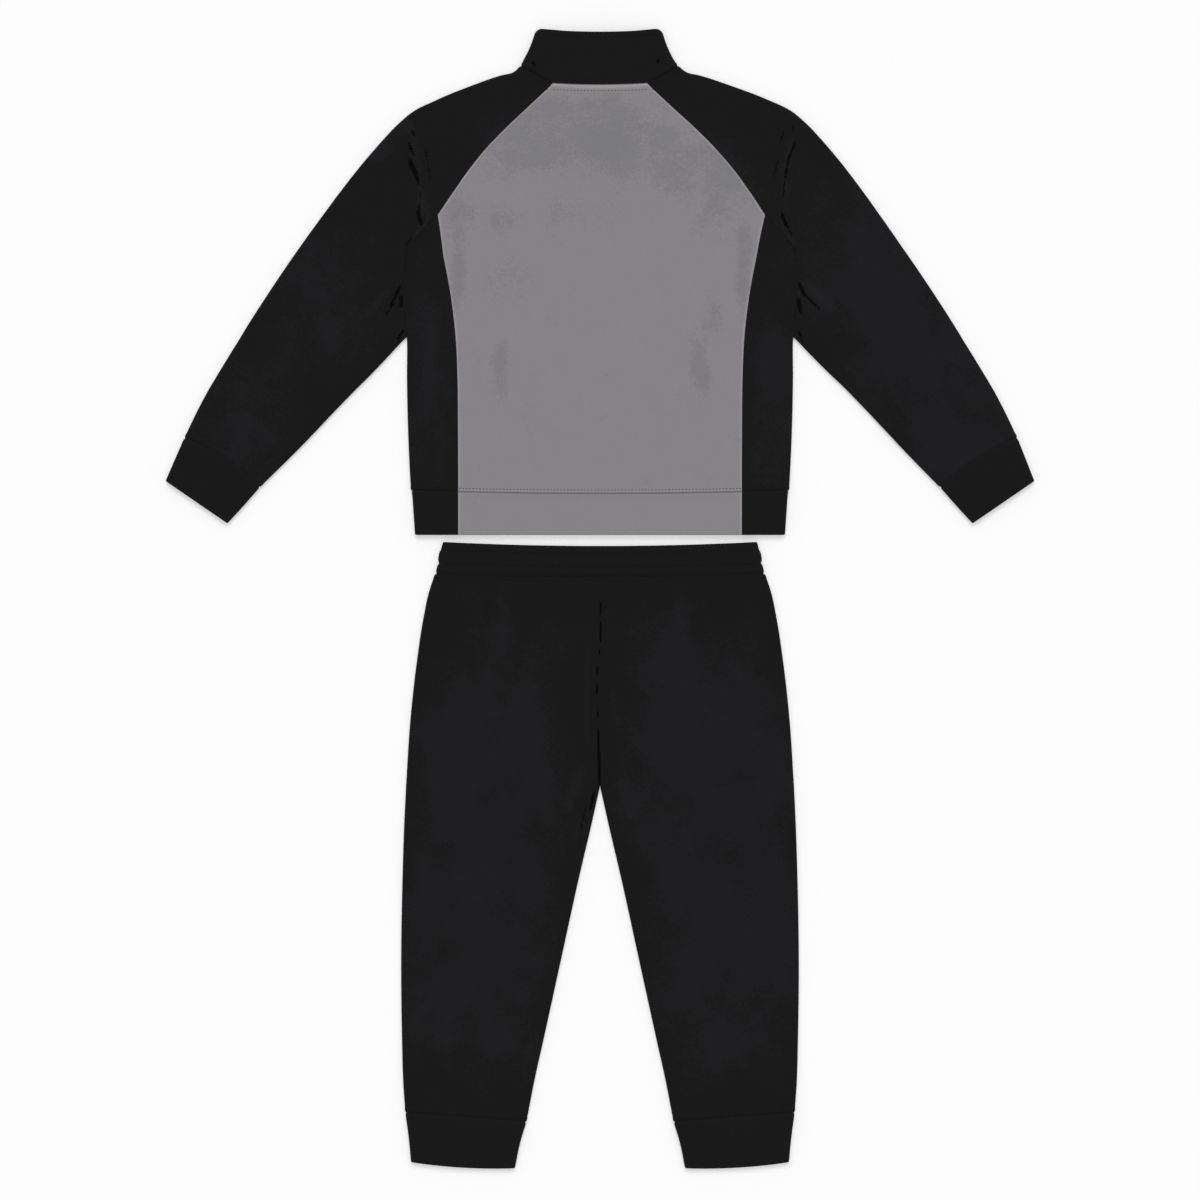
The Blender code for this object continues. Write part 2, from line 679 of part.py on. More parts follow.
def zip_pull():
    """The pull tab: a plate with an eye round the slider's bail, turning on its end bar."""
    hinge = Vector((0, SLIDER_Y, HINGE_Z))
    bar = PULL_WALL / 2
    work = bmesh.new()
    neck = [(PULL_NECK_HALF_WIDTH, bar), (PULL_NECK_HALF_WIDTH, -PULL_NECK_LENGTH),
            (PULL_HALF_WIDTH, -PULL_SHOULDER_LENGTH)]
    outline = list(neck)
    for step in range(PULL_ROUND_STEPS + 1):
        turn = -math.pi * step / PULL_ROUND_STEPS
        outline.append((PULL_HALF_WIDTH * math.cos(turn),
                        PULL_HALF_WIDTH * (1 + math.sin(turn)) - PULL_LENGTH))
    outline += [(-x, y) for x, y in reversed(neck)]
    face = work.faces.new([work.verts.new(Vector((x, y, -bar)) * MM) for x, y in outline])
    swept = bmesh.ops.extrude_face_region(work, geom=[face])["geom"]
    moved = [item for item in swept if isinstance(item, bmesh.types.BMVert)]
    bmesh.ops.translate(work, vec=Vector((0, 0, PULL_WALL * MM)), verts=moved)
    pull = add_object("zip_pull", work, fabric("zip_pull", STEEL, 0.35, 1.0))
    eye = block("zip_pull_eye", (-PULL_EYE_HALF_WIDTH, -bar - PULL_EYE_LENGTH, -PULL_EYE_DEPTH),
                (PULL_EYE_HALF_WIDTH, -bar, PULL_EYE_DEPTH))
    eye.parent = pull
    combine(pull, [eye], "DIFFERENCE")
    pull.matrix_world = (Matrix.Translation(hinge * MM)
                         @ Matrix.Rotation(math.radians(PULL_TILT), 4, "X"))


def trouser_panel(name, side, upper):
    columns = LEG_BACK_COLUMNS if upper else LEG_FRONT_COLUMNS
    rows = []
    legs = subdivided(LEG_ROWS, ROW_SPLIT)
    crotch = ROW_SPLIT * [row[0] for row in LEG_ROWS].index("crotch")
    for index, (outer_x, outer_y, inner_x, inner_y) in enumerate(legs):
        bow = (0, WAIST_SEAM_BOW * max(0, 1 - index / 3))
        path = across((outer_x, outer_y), (inner_x, inner_y), columns, bow)
        rows.append(layer(TROUSERS, path, side, upper, True, index > crotch))
    wall(name, draw_back(rows), BLACK)


def waistband():
    rows = []
    for side_y, half_width, centre_y in WAISTBAND_ROWS:
        dip = (0, centre_y - side_y)
        ends = (-half_width, side_y), (half_width, side_y)
        path = across(*ends, WAISTBAND_COLUMNS, dip)
        under = across(*ends[::-1], WAISTBAND_UNDERSIDE_COLUMNS, dip)
        upper = layer(WAISTBAND, path, 1, True, True, True)
        lower = layer(WAISTBAND, under, 1, False, True, True)
        rows.append(upper + lower[1:-1])
    wall("waistband", draw_back(rows, last=False, start=False, end=False), BLACK, tube=True)


def main():
    for old in list(bpy.data.objects):
        bpy.data.objects.remove(old, do_unlink=True)
    jacket_back()
    collar()
    hem_band()
    zip_strips()
    zip_slider()
    zip_pull()
    waistband()
    for name, side in SIDES:
        jacket_side(name, side)
        sleeve(name, side)
        jacket_front(name, side)
        cuff("sleeve_cuff_" + name, side, CUFF_ROWS, BAND, CUFF_BOWS)
        trouser_panel("trouser_back_" + name, side, True)
        trouser_panel("trouser_front_" + name, side, False)
        cuff("leg_cuff_" + name, side, LEG_CUFF_ROWS, BAND, LEG_CUFF_BOWS)


main()
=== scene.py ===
# %% [markdown]
# # A child's tracksuit, laid flat on its front
#
# The jacket and the joggers lie on a pale floor and are seen from above, from their back. The
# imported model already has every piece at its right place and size, as plain solids. Here each
# cut-and-sewn piece is made again as a thin shell of knit, fine enough for creases, seam
# grooves and rolled hems, and each gets its weave, stitching and sheen.
#
# Sizes are in millimetres until a mesh is made. +Y runs to the collar, +X to the wearer's
# right, and the floor is z = 0.

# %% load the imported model
import math

import bmesh
import bpy
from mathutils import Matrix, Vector, noise


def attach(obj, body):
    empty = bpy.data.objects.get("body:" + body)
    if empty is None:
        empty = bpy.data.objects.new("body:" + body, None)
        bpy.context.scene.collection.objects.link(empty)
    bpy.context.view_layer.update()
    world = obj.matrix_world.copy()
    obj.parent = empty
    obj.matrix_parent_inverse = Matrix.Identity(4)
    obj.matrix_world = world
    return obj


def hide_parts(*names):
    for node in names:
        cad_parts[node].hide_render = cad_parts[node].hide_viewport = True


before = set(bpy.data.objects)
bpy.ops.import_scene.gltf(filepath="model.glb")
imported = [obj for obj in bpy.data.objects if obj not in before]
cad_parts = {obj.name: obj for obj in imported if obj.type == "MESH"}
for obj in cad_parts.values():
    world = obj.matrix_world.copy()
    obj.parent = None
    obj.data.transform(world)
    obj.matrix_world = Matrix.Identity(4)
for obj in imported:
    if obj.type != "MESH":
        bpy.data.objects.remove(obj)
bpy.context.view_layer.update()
MM = 0.001
SIDES = (("left", -1), ("right", 1))

# %% [markdown]
# ## Camera, floor and light
#
# The photograph looks straight down and takes in a square of 1104 mm. A long lens keeps the
# flat garment free of perspective. The floor is a light table: part of its white is its own
# glow, which keeps shadows pale. A white world lights the cloth as a studio tent does, and a
# wide sun beyond the collar throws the thin soft shadow along the lower edges.

# %% camera, floor and light
PHOTO_PIXELS = 1200
MM_PER_PIXEL = 0.92
PHOTO_CENTRE_Y = -1.4
LENS = 85.0
SENSOR = 36.0
OUTLINE_HEIGHT = 2.0
TENT_STRENGTH = 0.52
SUN_STRENGTH = 0.85
TABLE_GLOW = 0.34


def add_object(name, data):
    made = bpy.data.objects.new(name, data)
    bpy.context.scene.collection.objects.link(made)
    return made


def photo_camera():
    data = bpy.data.cameras.new("photo_camera")
    data.lens = LENS
    data.sensor_width = SENSOR
    data.clip_end = 50.0
    camera = add_object("photo_camera", data)
    distance = PHOTO_PIXELS * MM_PER_PIXEL * LENS / SENSOR
    camera.location = (0, PHOTO_CENTRE_Y * MM, (distance + OUTLINE_HEIGHT) * MM)
    bpy.context.scene.camera = camera
    return distance


def plain_material(name, colour, roughness=0.9):
    material = bpy.data.materials.new(name)
    material.use_nodes = True
    shader = material.node_tree.nodes["Principled BSDF"]
    shader.inputs["Base Color"].default_value = (*colour, 1.0)
    shader.inputs["Roughness"].default_value = roughness
    return material


def pale_floor(half=12.0, drop=-0.0004):
    mesh = bpy.data.meshes.new("floor")
    corners = [(-half, -half, drop), (half, -half, drop), (half, half, drop), (-half, half, drop)]
    mesh.from_pydata(corners, [], [(0, 1, 2, 3)])
    paper = plain_material("floor_paper", (0.9, 0.9, 0.9))
    shader = paper.node_tree.nodes["Principled BSDF"]
    shader.inputs["Emission Color"].default_value = (1.0, 1.0, 1.0, 1.0)
    shader.inputs["Emission Strength"].default_value = TABLE_GLOW
    mesh.materials.append(paper)
    floor = add_object("floor", mesh)


def soft_light():
    world = bpy.data.worlds.new("studio_tent")
    world.use_nodes = True
    background = world.node_tree.nodes["Background"]
    background.inputs["Color"].default_value = (1.0, 1.0, 1.0, 1.0)
    background.inputs["Strength"].default_value = TENT_STRENGTH
    bpy.context.scene.world = world
    data = bpy.data.lights.new("high_sun", "SUN")
    data.energy = SUN_STRENGTH
    data.angle = math.radians(26)
    lamp = add_object("high_sun", data)
    lamp.location = (0.0, 2.0, 2.0)
    lamp.rotation_euler = (math.radians(-45), 0, 0)
    bpy.context.scene.view_settings.view_transform = "Standard"


print("camera height in mm:", round(photo_camera()))
pale_floor()
soft_light()

# %% [markdown]
# ## Smooth curves through a few measured rows
#
# A pattern cutter's outline is a few points and a smooth curve through them. The same curve is
# read by both pieces that meet at a seam, so their edges always fit. `corners` names the
# points where the outline may turn sharply, such as the armpit.

# %% curves


def mix(a, b, part):
    return a + (b - a) * part


def smooth(value):
    value = min(max(value, 0.0), 1.0)
    return value * value * (3 - 2 * value)


def curve_through(knots, values, corners=()):
    """A smooth curve through the values, as a function of the knots' measure."""
    last = len(knots) - 1

    def slope(i):
        return (values[i + 1] - values[i]) / (knots[i + 1] - knots[i])

    def tangent(i, ahead):
        if i == 0 or (i in corners and ahead):
            return slope(min(i, last - 1))
        if i == last or i in corners:
            return slope(i - 1)
        before, after = knots[i] - knots[i - 1], knots[i + 1] - knots[i]
        return (slope(i - 1) * after + slope(i) * before) / (before + after)

    def read(at):
        i = 0
        while i < last - 1 and at > knots[i + 1]:
            i += 1
        width = knots[i + 1] - knots[i]
        s = min(max((at - knots[i]) / width, 0.0), 1.0)
        rise = 3 * s * s - 2 * s ** 3
        return (mix(values[i], values[i + 1], rise)
                + width * (s ** 3 - 2 * s * s + s) * tangent(i, True)
                + width * (s ** 3 - s * s) * tangent(i + 1, False))

    return read


def running_lengths(points):
    lengths = [0.0]
    for here, after in zip(points, points[1:]):
        lengths.append(lengths[-1] + math.dist(here, after))
    return lengths


def follow(points):
    """A function from the distance along a line of points to the place there, and its length."""
    points = [Vector(point) for point in points]
    lengths = running_lengths(points)

    def at(distance):
        low, high = 0, len(points) - 1
        while high - low > 1:
            middle = (low + high) // 2
            if lengths[middle] <= distance:
                low = middle
            else:
                high = middle
        return points[low].lerp(points[high], (distance - lengths[low]) / (lengths[high] - lengths[low]))

    return at, lengths[-1]


# %% [markdown]
# ## The pattern's sizes
#
# One side serves both, mirrored. Each sleeve row runs from the shoulder fold to the raglan
# seam on the back and on the front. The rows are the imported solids' rows, with one more beside
# the collar, where the shoulder starts in a small step.

# %% jacket sizes
#   shoulder fold x, y   back seam x, y    front seam x, y
SLEEVE_ROWS = [
    (71.6, 490.0,    43.2, 474.0,    50.0, 452.0),
    (80.6, 483.8,    46.4, 470.4,    53.6, 448.0),
    (90.0, 481.6,    51.6, 465.6,    58.1, 443.5),
    (120.5, 471.5,   69.0, 449.4,    73.0, 428.5),
    (153.5, 458.6,   88.8, 431.0,    91.0, 411.0),
    (175.0, 448.0,  106.7, 412.6,   109.0, 394.0),
    (188.6, 436.5,  121.9, 394.2,   124.0, 379.0),
    (202.4, 421.8,  134.8, 375.8,   137.0, 366.0),
    (218.0, 403.4,  150.6, 352.8,   150.6, 352.8),
    (250.5, 360.5,  179.4, 320.6,   179.4, 320.6),
    (277.5, 324.0,  180.6, 280.0,   180.6, 280.0),
    (305.5, 283.0,  178.0, 240.6,   178.0, 240.6),
    (329.5, 245.5,  206.0, 211.2,   206.0, 211.2),
    (351.0, 208.5,  242.0, 174.3,   242.0, 174.3),
    (370.0, 173.6,  278.0, 136.6,   278.0, 136.6),
    (382.3, 148.1,  312.5, 102.6,   312.5, 102.6),
]
JOINT = 8
ARMHOLE = 9
ARMPIT = 11
#   outer x, y       inner x, y       bow of the row
CUFF_ROWS = [
    (382.3, 148.1,   312.5, 102.6,   -2.5, 3.8),
    (391.5, 127.0,   328.0,  85.0,   -1.4, 2.1),
    (399.7, 108.1,   342.7,  69.0,    0.0, 0.0),
]
#   y, half width at the side seam, at the side fold
BODY_ROWS = [
    (352.8, 150.6, 183.0),
    (320.6, 145.0, 179.4),
    (280.0, 137.5, 180.2),
    (240.6, 132.8, 177.6),
    (201.0, 131.0, 177.6),
    (155.0, 130.6, 176.6),
    (113.6, 130.4, 174.8),
    (98.2, 130.4, 173.9),
]
JOINT_Y = 352.8
ARMHOLE_Y = 320.6
HEM_SEAM_Y = 98.2
HEM_SEAM_FOLD = (173.0, 99.4)
HEM_SEAM_SAG = -1.6
HEM_Y = 58.4
HEM_FOLD_X = 170.2
NECK_SAG = -2.0
FRONT_NECK_Y = 431.0
FRONT_NECK_BOW = -5.2
FRONT_EDGE_X = 8.0
COLLAR_TOP_FOLD = (56.5, 523.8)
COLLAR_TOP_BACK_Y = 520.3
COLLAR_TOP_FRONT_Y = 482.0
COLLAR_HOLLOW = 0.03
COLLAR_CORNER = 5.0

# %% trouser sizes
#   outer x, y       inner x, y
LEG_ROWS = [
    (151.8, 22.5,      0.0, 20.2),
    (156.9, 7.8,       0.0, 5.5),
    (162.5, -18.0,     0.0, -18.0),
    (168.3, -56.0,     0.0, -56.0),
    (174.5, -111.8,    0.0, -111.8),
    (178.5, -172.5,    0.0, -172.5),
    (180.0, -203.8,    6.9, -203.8),
    (181.8, -259.0,   19.8, -259.0),
    (183.0, -332.6,   35.9, -332.6),
    (182.2, -406.2,   52.0, -406.2),
    (181.0, -447.0,   61.0, -447.0),
    (179.2, -472.4,   67.6, -481.2),
]
CROTCH = 5
LEG_CUFF_ROWS = [
    (179.2, -472.4,   67.6, -481.2,   0.0, 0.0),
    (175.8, -498.0,   74.0, -503.0,   0.0, -0.8),
    (173.9, -518.4,   78.2, -524.0,   0.0, -2.2),
]
#   y at the side, half width, y at the centre
WAISTBAND_ROWS = [
    (22.5, 151.4, 20.2),
    (27.0, 150.4, 24.6),
    (30.8, 149.3, 28.3),
    (32.4, 148.1, 29.8),
    (34.2, 148.7, 31.6),
    (38.5, 148.6, 35.8),
    (43.0, 147.5, 40.0),
    (45.4, 146.1, 42.2),
    (47.6, 145.7, 44.2),
    (52.0, 144.4, 48.3),
]
WAIST_SEAM_BOW = -0.575

# %% [markdown]
# ## How the cloth lies
#
# The garment is two layers deep. The lower layer rests on the floor, and the upper one lies on
# it, 2 to 3 mm higher. At the outline the cloth folds over in a soft ellipse. The zip slider
# under the collar holds the cloth up by a few millimetres, which `lift` works out.

# %% layers
EDGE_RADIUS = 4.0
LIFT = 2.8
LIFT_HALF_WIDTH = 60.0
LIFT_FROM_Y = 380.0
LIFT_FULL_Y = 448.0
UPPER_LIFT_RATIO = 1.6


def lift(x, y):
    if y <= LIFT_FROM_Y or abs(x) >= LIFT_HALF_WIDTH:
        return 0.0
    beside = (1 - (x / LIFT_HALF_WIDTH) ** 2) ** 2
    return LIFT * beside * smooth((y - LIFT_FROM_Y) / (LIFT_FULL_Y - LIFT_FROM_Y))


# %% [markdown]
# ## Laid out by hand
#
# The pattern is the same on both sides, but the garment was laid out by hand, so its sleeves and
# its collar lie up to 3 mm off the mirrored outline. `drift` says by how much: every point of
# every piece goes through it, so the seams stay closed.

# %% drift
#   y,   shift of the left side, of the right side, counted from this far off the middle
DRIFT_ROWS = [
    (524, -2.6, 0.4, 15),
    (496, -2.4, 0.0, 15),
    (484, 0.0, 0.0, 40),
    (456, 3.2, 1.7, 60),
    (412, 2.4, 1.8, 90),
    (368, 1.2, 1.8, 100),
    (324, 1.8, 0.0, 130),
    (280, 1.8, 0.0, 182),
    (236, 1.8, 0.0, 182),
    (192, 0.0, 1.8, 182),
    (148, 0.0, 1.6, 182),
    (110, 0.0, 0.0, 182),
]
DRIFT_REACH = 45.0


def drift(x, y):
    """How far a place lies beside its mirrored pattern, in X."""
    if y <= DRIFT_ROWS[-1][0]:
        return 0.0
    after = next(k for k, row in enumerate(DRIFT_ROWS) if y > row[0])
    high, low = DRIFT_ROWS[max(after - 1, 0)], DRIFT_ROWS[after]
    part = (high[0] - y) / (high[0] - low[0]) if after else 0.0
    shift = mix(high[1], low[1], part) if x < 0 else mix(high[2], low[2], part)
    return shift * smooth((abs(x) - mix(high[3], low[3], part)) / DRIFT_REACH)


# %% [markdown]
# ## Creases and gathers, placed one by one
#
# A crease is a soft ridge, or a trough where its height is negative, between two points. It
# fades at its ends. Real ones come in uneven families, so each has its own length, width and
# height. The large ones are also in the imported solids, and the fine ones are only here.

# %% creases
#   x0,   y0,   x1,   y1, half width, height
JACKET_CREASES = [
    (-178, 440, -168, 392, 8, 1.0),
    (-171, 402, -161, 344, 8, 1.0),
    (-188, 434, -180, 385, 9, -0.4),
    (178, 444, 169, 394, 8, 1.0),
    (168, 400, 169, 345, 8, 0.9),
    (187, 430, 183, 380, 9, -0.4),
    (-186, 292, -214, 262, 8, 1.0),
    (186, 292, 216, 260, 8, 1.0),
    (-82, 252, -101, 188, 11, 0.7),
    (80, 252, 101, 190, 11, 0.7),
    (-132, 318, -124, 262, 10, -0.4),
    (134, 322, 125, 262, 10, -0.4),
    (-262, 262, -240, 214, 14, 0.5),
    (270, 250, 238, 208, 14, 0.5),
]
FINE_JACKET_CREASES = [
    (-175.6, 430.5, -172.6, 424.0, 2.2, -1.6),
    (-178.8, 421.0, -175.4, 411.0, 1.7, -1.5),
    (-176.6, 414.0, -172.2, 405.5, 1.6, -1.4),
    (-178.6, 405.0, -171.0, 389.0, 4.2, -1.5),
    (-172.6, 395.0, -168.0, 379.5, 2.4, -1.6),
    (-166.4, 374.0, -166.0, 367.0, 1.3, -1.1),
    (-166.2, 364.0, -168.8, 352.5, 1.9, -1.5),
    (-169.6, 357.0, -165.2, 342.5, 3.2, -1.5),
    (-163.6, 416.0, -160.4, 400.0, 1.4, -1.2),
    (-160.6, 402.0, -157.4, 382.0, 1.4, -1.2),
    (-173.0, 332.5, -181.5, 323.5, 1.4, -1.1),
    (-176.0, 417.0, -168.6, 401.0, 2.2, 0.8),
    (177.5, 440.0, 174.0, 424.0, 1.4, -1.0),
    (177.8, 421.0, 171.8, 404.0, 1.8, -1.4),
    (172.6, 409.0, 168.4, 386.0, 2.2, -1.4),
    (168.6, 390.0, 166.0, 364.0, 1.5, -1.2),
    (165.6, 356.0, 170.4, 341.0, 2.4, -1.5),
    (169.0, 346.0, 176.5, 332.0, 1.7, -1.3),
    (168.5, 434.0, 163.0, 414.0, 1.4, -1.1),
    (163.4, 410.0, 157.4, 384.0, 1.4, -1.1),
    (174.0, 420.0, 166.0, 380.0, 3.6, 0.8),
    (-157.0, 362.0, -162.0, 338.0, 3.0, 0.7),
    (-161.0, 346.0, -176.0, 327.0, 2.6, 0.8),
    (163.0, 350.0, 180.0, 322.0, 3.0, 0.9),
    (-182.6, 289.0, -193.0, 268.0, 2.5, -1.6),
    (-182.4, 279.0, -183.4, 266.0, 2.8, -1.6),
    (-190.0, 272.0, -199.0, 258.0, 1.6, -1.2),
    (182.6, 291.0, 188.5, 277.0, 2.6, -1.6),
    (186.5, 281.0, 203.0, 265.0, 1.8, -1.4),
    (183.0, 277.0, 184.0, 262.0, 2.8, -1.6),
    (-180.0, 248.0, -187.0, 236.0, 2.5, -1.2),
    (181.0, 247.0, 188.0, 235.0, 2.5, -1.2),
    (-230, 352, -252, 300, 12, -0.35),
    (232, 348, 256, 296, 12, -0.35),
    (-282, 236, -300, 196, 12, 0.4),
    (286, 228, 306, 186, 13, 0.4),
    (-318, 172, -336, 138, 8, -0.4),
    (322, 160, 340, 130, 8, -0.4),
    (-152, 262, -158, 180, 9, 0.4),
    (156, 250, 150, 160, 10, 0.4),
    (-143, 150, -149, 106, 7, -0.4),
    (146, 146, 141, 104, 7, -0.4),
    (-58, 214, -64, 150, 14, -0.3),
    (46, 196, 60, 128, 14, -0.3),
    (-20, 430, 26, 418, 16, -0.25),
    (-96, 120, -88, 101, 6, 0.35),
    (-34, 116, -28, 100, 6, 0.3),
    (42, 118, 49, 100, 7, 0.35),
    (104, 122, 98, 101, 6, 0.35),
]
TROUSER_CREASES = [
    (-12, -28, -14, -136, 8, 0.8),
    (13, -70, 13, -150, 8, 0.6),
    (-14, -150, -31, -200, 9, 1.0),
    (15, -152, 33, -206, 9, 0.9),
    (-18, -206, -24, -236, 7, 0.7),
    (-92, 12, -86, -40, 11, 0.6),
    (72, 12, 80, -44, 11, 0.6),
    (-128, -296, -88, -322, 16, -0.4),
    (120, -290, 84, -318, 16, -0.4),
]
FINE_TROUSER_CREASES = [
    (0.6, -2.0, 0.6, -16.0, 1.4, -1.2),
    (0.8, -19.0, 0.4, -42.0, 1.6, -1.4),
    (-0.4, -46.0, -0.6, -52.0, 1.4, -1.1),
    (-2.4, -60.0, -2.8, -73.0, 1.5, -1.2),
    (-2.6, -77.0, -3.0, -91.0, 1.5, -1.3),
    (-1.8, -104.0, -1.8, -111.0, 1.4, -1.1),
    (-1.6, -118.0, -1.0, -148.0, 1.9, -1.5),
    (-1.2, -138.0, -0.4, -175.0, 2.2, -1.7),
    (-12.6, -30.0, -10.8, -88.0, 2.2, 0.5),
    (-12.4, -80.0, -12.0, -136.0, 2.2, 0.5),
    (-4.6, -176.0, -9.6, -196.0, 1.7, -1.5),
    (-15.6, -208.0, -20.0, -230.0, 1.7, -1.4),
    (-12.0, -188.0, -18.0, -214.0, 1.4, -0.8),
    (8.0, -158, 17.0, -206, 2.0, -0.6),
    (-44, 6, -41, -38, 5, 0.4),
    (-108, 4, -112, -36, 7, 0.4),
    (94, 2, 101, -38, 6, 0.4),
    (134, 6, 141, -30, 6, 0.4),
    (-66, -70, -84, -150, 16, 0.4),
    (74, -84, 92, -170, 16, 0.4),
    (-160, -96, -150, -170, 12, -0.4),
    (162, -110, 150, -186, 12, -0.4),
    (-110, -358, -92, -430, 13, 0.35),
    (118, -366, 104, -436, 13, 0.35),
    (-148, -452, -152, -474, 5, 0.4),
    (-104, -458, -101, -477, 5, 0.4),
    (110, -456, 113, -476, 5, 0.4),
    (152, -450, 150, -474, 5, 0.4),
]

COLLAR_CREASES = [
    (-61.5, 494.0, -58.5, 488.5, 1.7, -1.4),
    (54.0, 496.5, 52.5, 490.5, 1.8, -1.4),
    (-63.0, 492.0, -47.0, 512.0, 7, 0.4),
    (62.0, 493.0, 46.0, 513.0, 7, 0.4),
    (-30.0, 484.0, 24.0, 482.0, 9, 0.3),
]
SHARP = 4.5


def crease_field(*tables):
    """
    What the creases do at a place: their summed height, how deep it lies in sharp troughs, how
    far it lies in soft folds, and how high on sharp ridges. Sharp ones are narrower than SHARP.
    """
    creases = []
    for x0, y0, x1, y1, half_width, height in [row for table in tables for row in table]:
        length = math.hypot(x1 - x0, y1 - y0)
        creases.append((x0, y0, (x1 - x0) / length, (y1 - y0) / length, length, half_width, height))

    def read(x, y):
        total = trough = fold = ridge = 0.0
        for x0, y0, along_x, along_y, length, half_width, height in creases:
            away = abs((y - y0) * along_x - (x - x0) * along_y)
            if away < half_width:
                part = ((x - x0) * along_x + (y - y0) * along_y) / length
                if 0 < part < 1:
                    across = math.cos(math.pi / 2 * away / half_width) ** 2
                    rise = height * across * math.sqrt(4 * part * (1 - part))
                    total += rise
                    if half_width > SHARP:
                        fold += abs(rise)
                    elif height > 0:
                        ridge += rise
                    else:
                        trough -= rise
        return total, trough, fold, ridge

    return read


jacket_creases = crease_field(JACKET_CREASES, FINE_JACKET_CREASES)
trouser_creases = crease_field(TROUSER_CREASES, FINE_TROUSER_CREASES)
collar_creases = crease_field(COLLAR_CREASES)

# %% gathers and soft unevenness
WAIST_GATHERS = 25
GATHER_PITCH = 11.6
GATHER_DRIFT = 2.0
GATHER_HEIGHT = 0.7
GATHER_FADE = 42.0
UNEVEN_HEIGHT = 0.35
UNEVEN_SPAN = 46.0


def gathers(x, y):
    """Puckers that the waist elastic draws up, deepest in the band and dying out below it."""
    fade = smooth(1 - (WAISTBAND_ROWS[0][0] - y) / GATHER_FADE)
    if fade == 0.0:
        return 0.0
    height = 0.0
    nearest = round(x / GATHER_PITCH + (WAIST_GATHERS - 1) / 2)
    for index in range(max(nearest - 1, 0), min(nearest + 2, WAIST_GATHERS)):
        centre = (index - (WAIST_GATHERS - 1) / 2) * GATHER_PITCH + GATHER_DRIFT * math.sin(1.9 * index)
        away = abs(x - centre) / (GATHER_PITCH / 2)
        if away < 1:
            height += (0.75 + 0.25 * math.sin(2.7 * index)) * math.cos(math.pi / 2 * away) ** 2
    return GATHER_HEIGHT * height * fade


def unevenness(x, y):
    """Cloth laid by hand is never quite flat."""
    return UNEVEN_HEIGHT * noise.noise(Vector((x / UNEVEN_SPAN, y / UNEVEN_SPAN, 3.7)))


# %% nap patches, and painted shade and highlight on folds
# Nap patches of the jacket. The narrow ones beside the side seams and along the back's folds are painted shade, not
# nap.
#   x,    y, reach in x, in y, strength
JACKET_NAP_AND_SHADE = [
    (-54, 434, 72, 40, 0.86),
    (12, 440, 76, 40, 0.86),
    (62, 404, 66, 40, 0.86),
    (112, 376, 44, 56, 0.9),
    (-84, 404, 52, 34, 0.8),
    (-14, 398, 60, 34, 0.65),
    (-128, 352, 18, 36, 1.1),
    (-94, 346, 32, 22, 0.6),
    (-30, 352, 60, 26, 0.4),
    (-130, 298, 10, 46, 1.1),
    (132, 304, 11, 52, 1.1),
    (104, 258, 14, 26, 0.7),
    (-84, 292, 34, 30, 0.6),
    (-92, 214, 13, 46, 0.8),
    (92, 218, 14, 46, 0.9),
    (-188, 438, 18, 14, 1.0),
    (-206, 416, 16, 20, 1.0),
    (-158, 200, 34, 130, 0.8),
    (158, 180, 34, 130, 0.85),
    (-256, 270, 76, 80, 0.75),
    (-326, 156, 70, 76, 0.85),
    (240, 320, 80, 90, 1.0),
    (300, 210, 100, 100, 1.15),
    (350, 130, 70, 70, 1.2),
]
TROUSER_NAP = [
    (-104, -165, 94, 150, 1.35),
    (-88, -22, 20, 44, 0.55),
    (-46, -40, 34, 34, 0.6),
    (54, -56, 40, 60, 0.65),
    (104, -165, 100, 155, 1.35),
    (-114, -330, 86, 140, 1.4),
    (118, -325, 88, 140, 1.4),
]
# Folds draw the knit towards its patch colour: a painted highlight on the black knits, a painted shade on the grey.
FOLD_SHADING = 0.65


def nap_field(table):
    """How far the nap is brushed askew at a place: round patches, placed one by one."""

    def read(x, y):
        total = 0.0
        for x0, y0, reach_x, reach_y, strength in table:
            aside = ((x - x0) / reach_x) ** 2 + ((y - y0) / reach_y) ** 2
            if aside < 1:
                total += strength * (1 - aside)
        return min(total, 1.0)

    return read


jacket_nap_and_shade = nap_field(JACKET_NAP_AND_SHADE)
trouser_nap = nap_field(TROUSER_NAP)

# %% kinds of layering


class Layering:
    """One kind of cloth: its wall, the room between its two layers and its relief."""

    def __init__(self, wall, inside, relief, lifted=False):
        self.wall = wall
        self.room = inside
        self.relief = relief
        self.lifted = lifted

    def heights(self, x, y):
        """
        The floor of the lower layer, the inside of the upper layer, its top, and what is painted on the cloth there:
        how deep it lies in a trough, for painted shade, its nap patches and how far it lies in a fold, for the nap
        colour and painted fold shading, and how high it lies on a ridge, for a painted highlight.
        """
        floor = lift(x, y) if self.lifted else 0.0
        inside = self.room + UPPER_LIFT_RATIO * floor
        relief, *nap_and_shading = self.relief(x, y)
        return floor, inside, inside + self.wall + relief, nap_and_shading


def jacket_relief(x, y):
    creases, trough, fold, ridge = jacket_creases(x, y)
    return creases + unevenness(x, y), trough, FOLD_SHADING * fold + jacket_nap_and_shade(x, y), ridge


def trouser_relief(x, y):
    creases, trough, fold, ridge = trouser_creases(x, y)
    height = creases + gathers(x, y) + unevenness(x, y)
    return height, trough, FOLD_SHADING * fold + trouser_nap(x, y), ridge


def collar_relief(x, y):
    creases, trough, fold, ridge = collar_creases(x, y)
    return creases + 0.6 * unevenness(x, y), trough, FOLD_SHADING * fold, ridge


def waistband_relief(x, y):
    return gathers(x, y) + 0.5 * unevenness(x, y), 0.0, 0.0, 0.0


def band_relief(x, y):
    return 0.6 * unevenness(x, y), 0.0, 0.0, 0.0


JACKET = Layering(1.4, 2.4, jacket_relief, True)
TROUSERS = Layering(1.4, 2.0, trouser_relief)
WAISTBAND = Layering(2.0, 2.6, waistband_relief)
BAND = Layering(2.0, 2.6, band_relief)
COLLAR = Layering(2.2, 2.8, collar_relief, True)

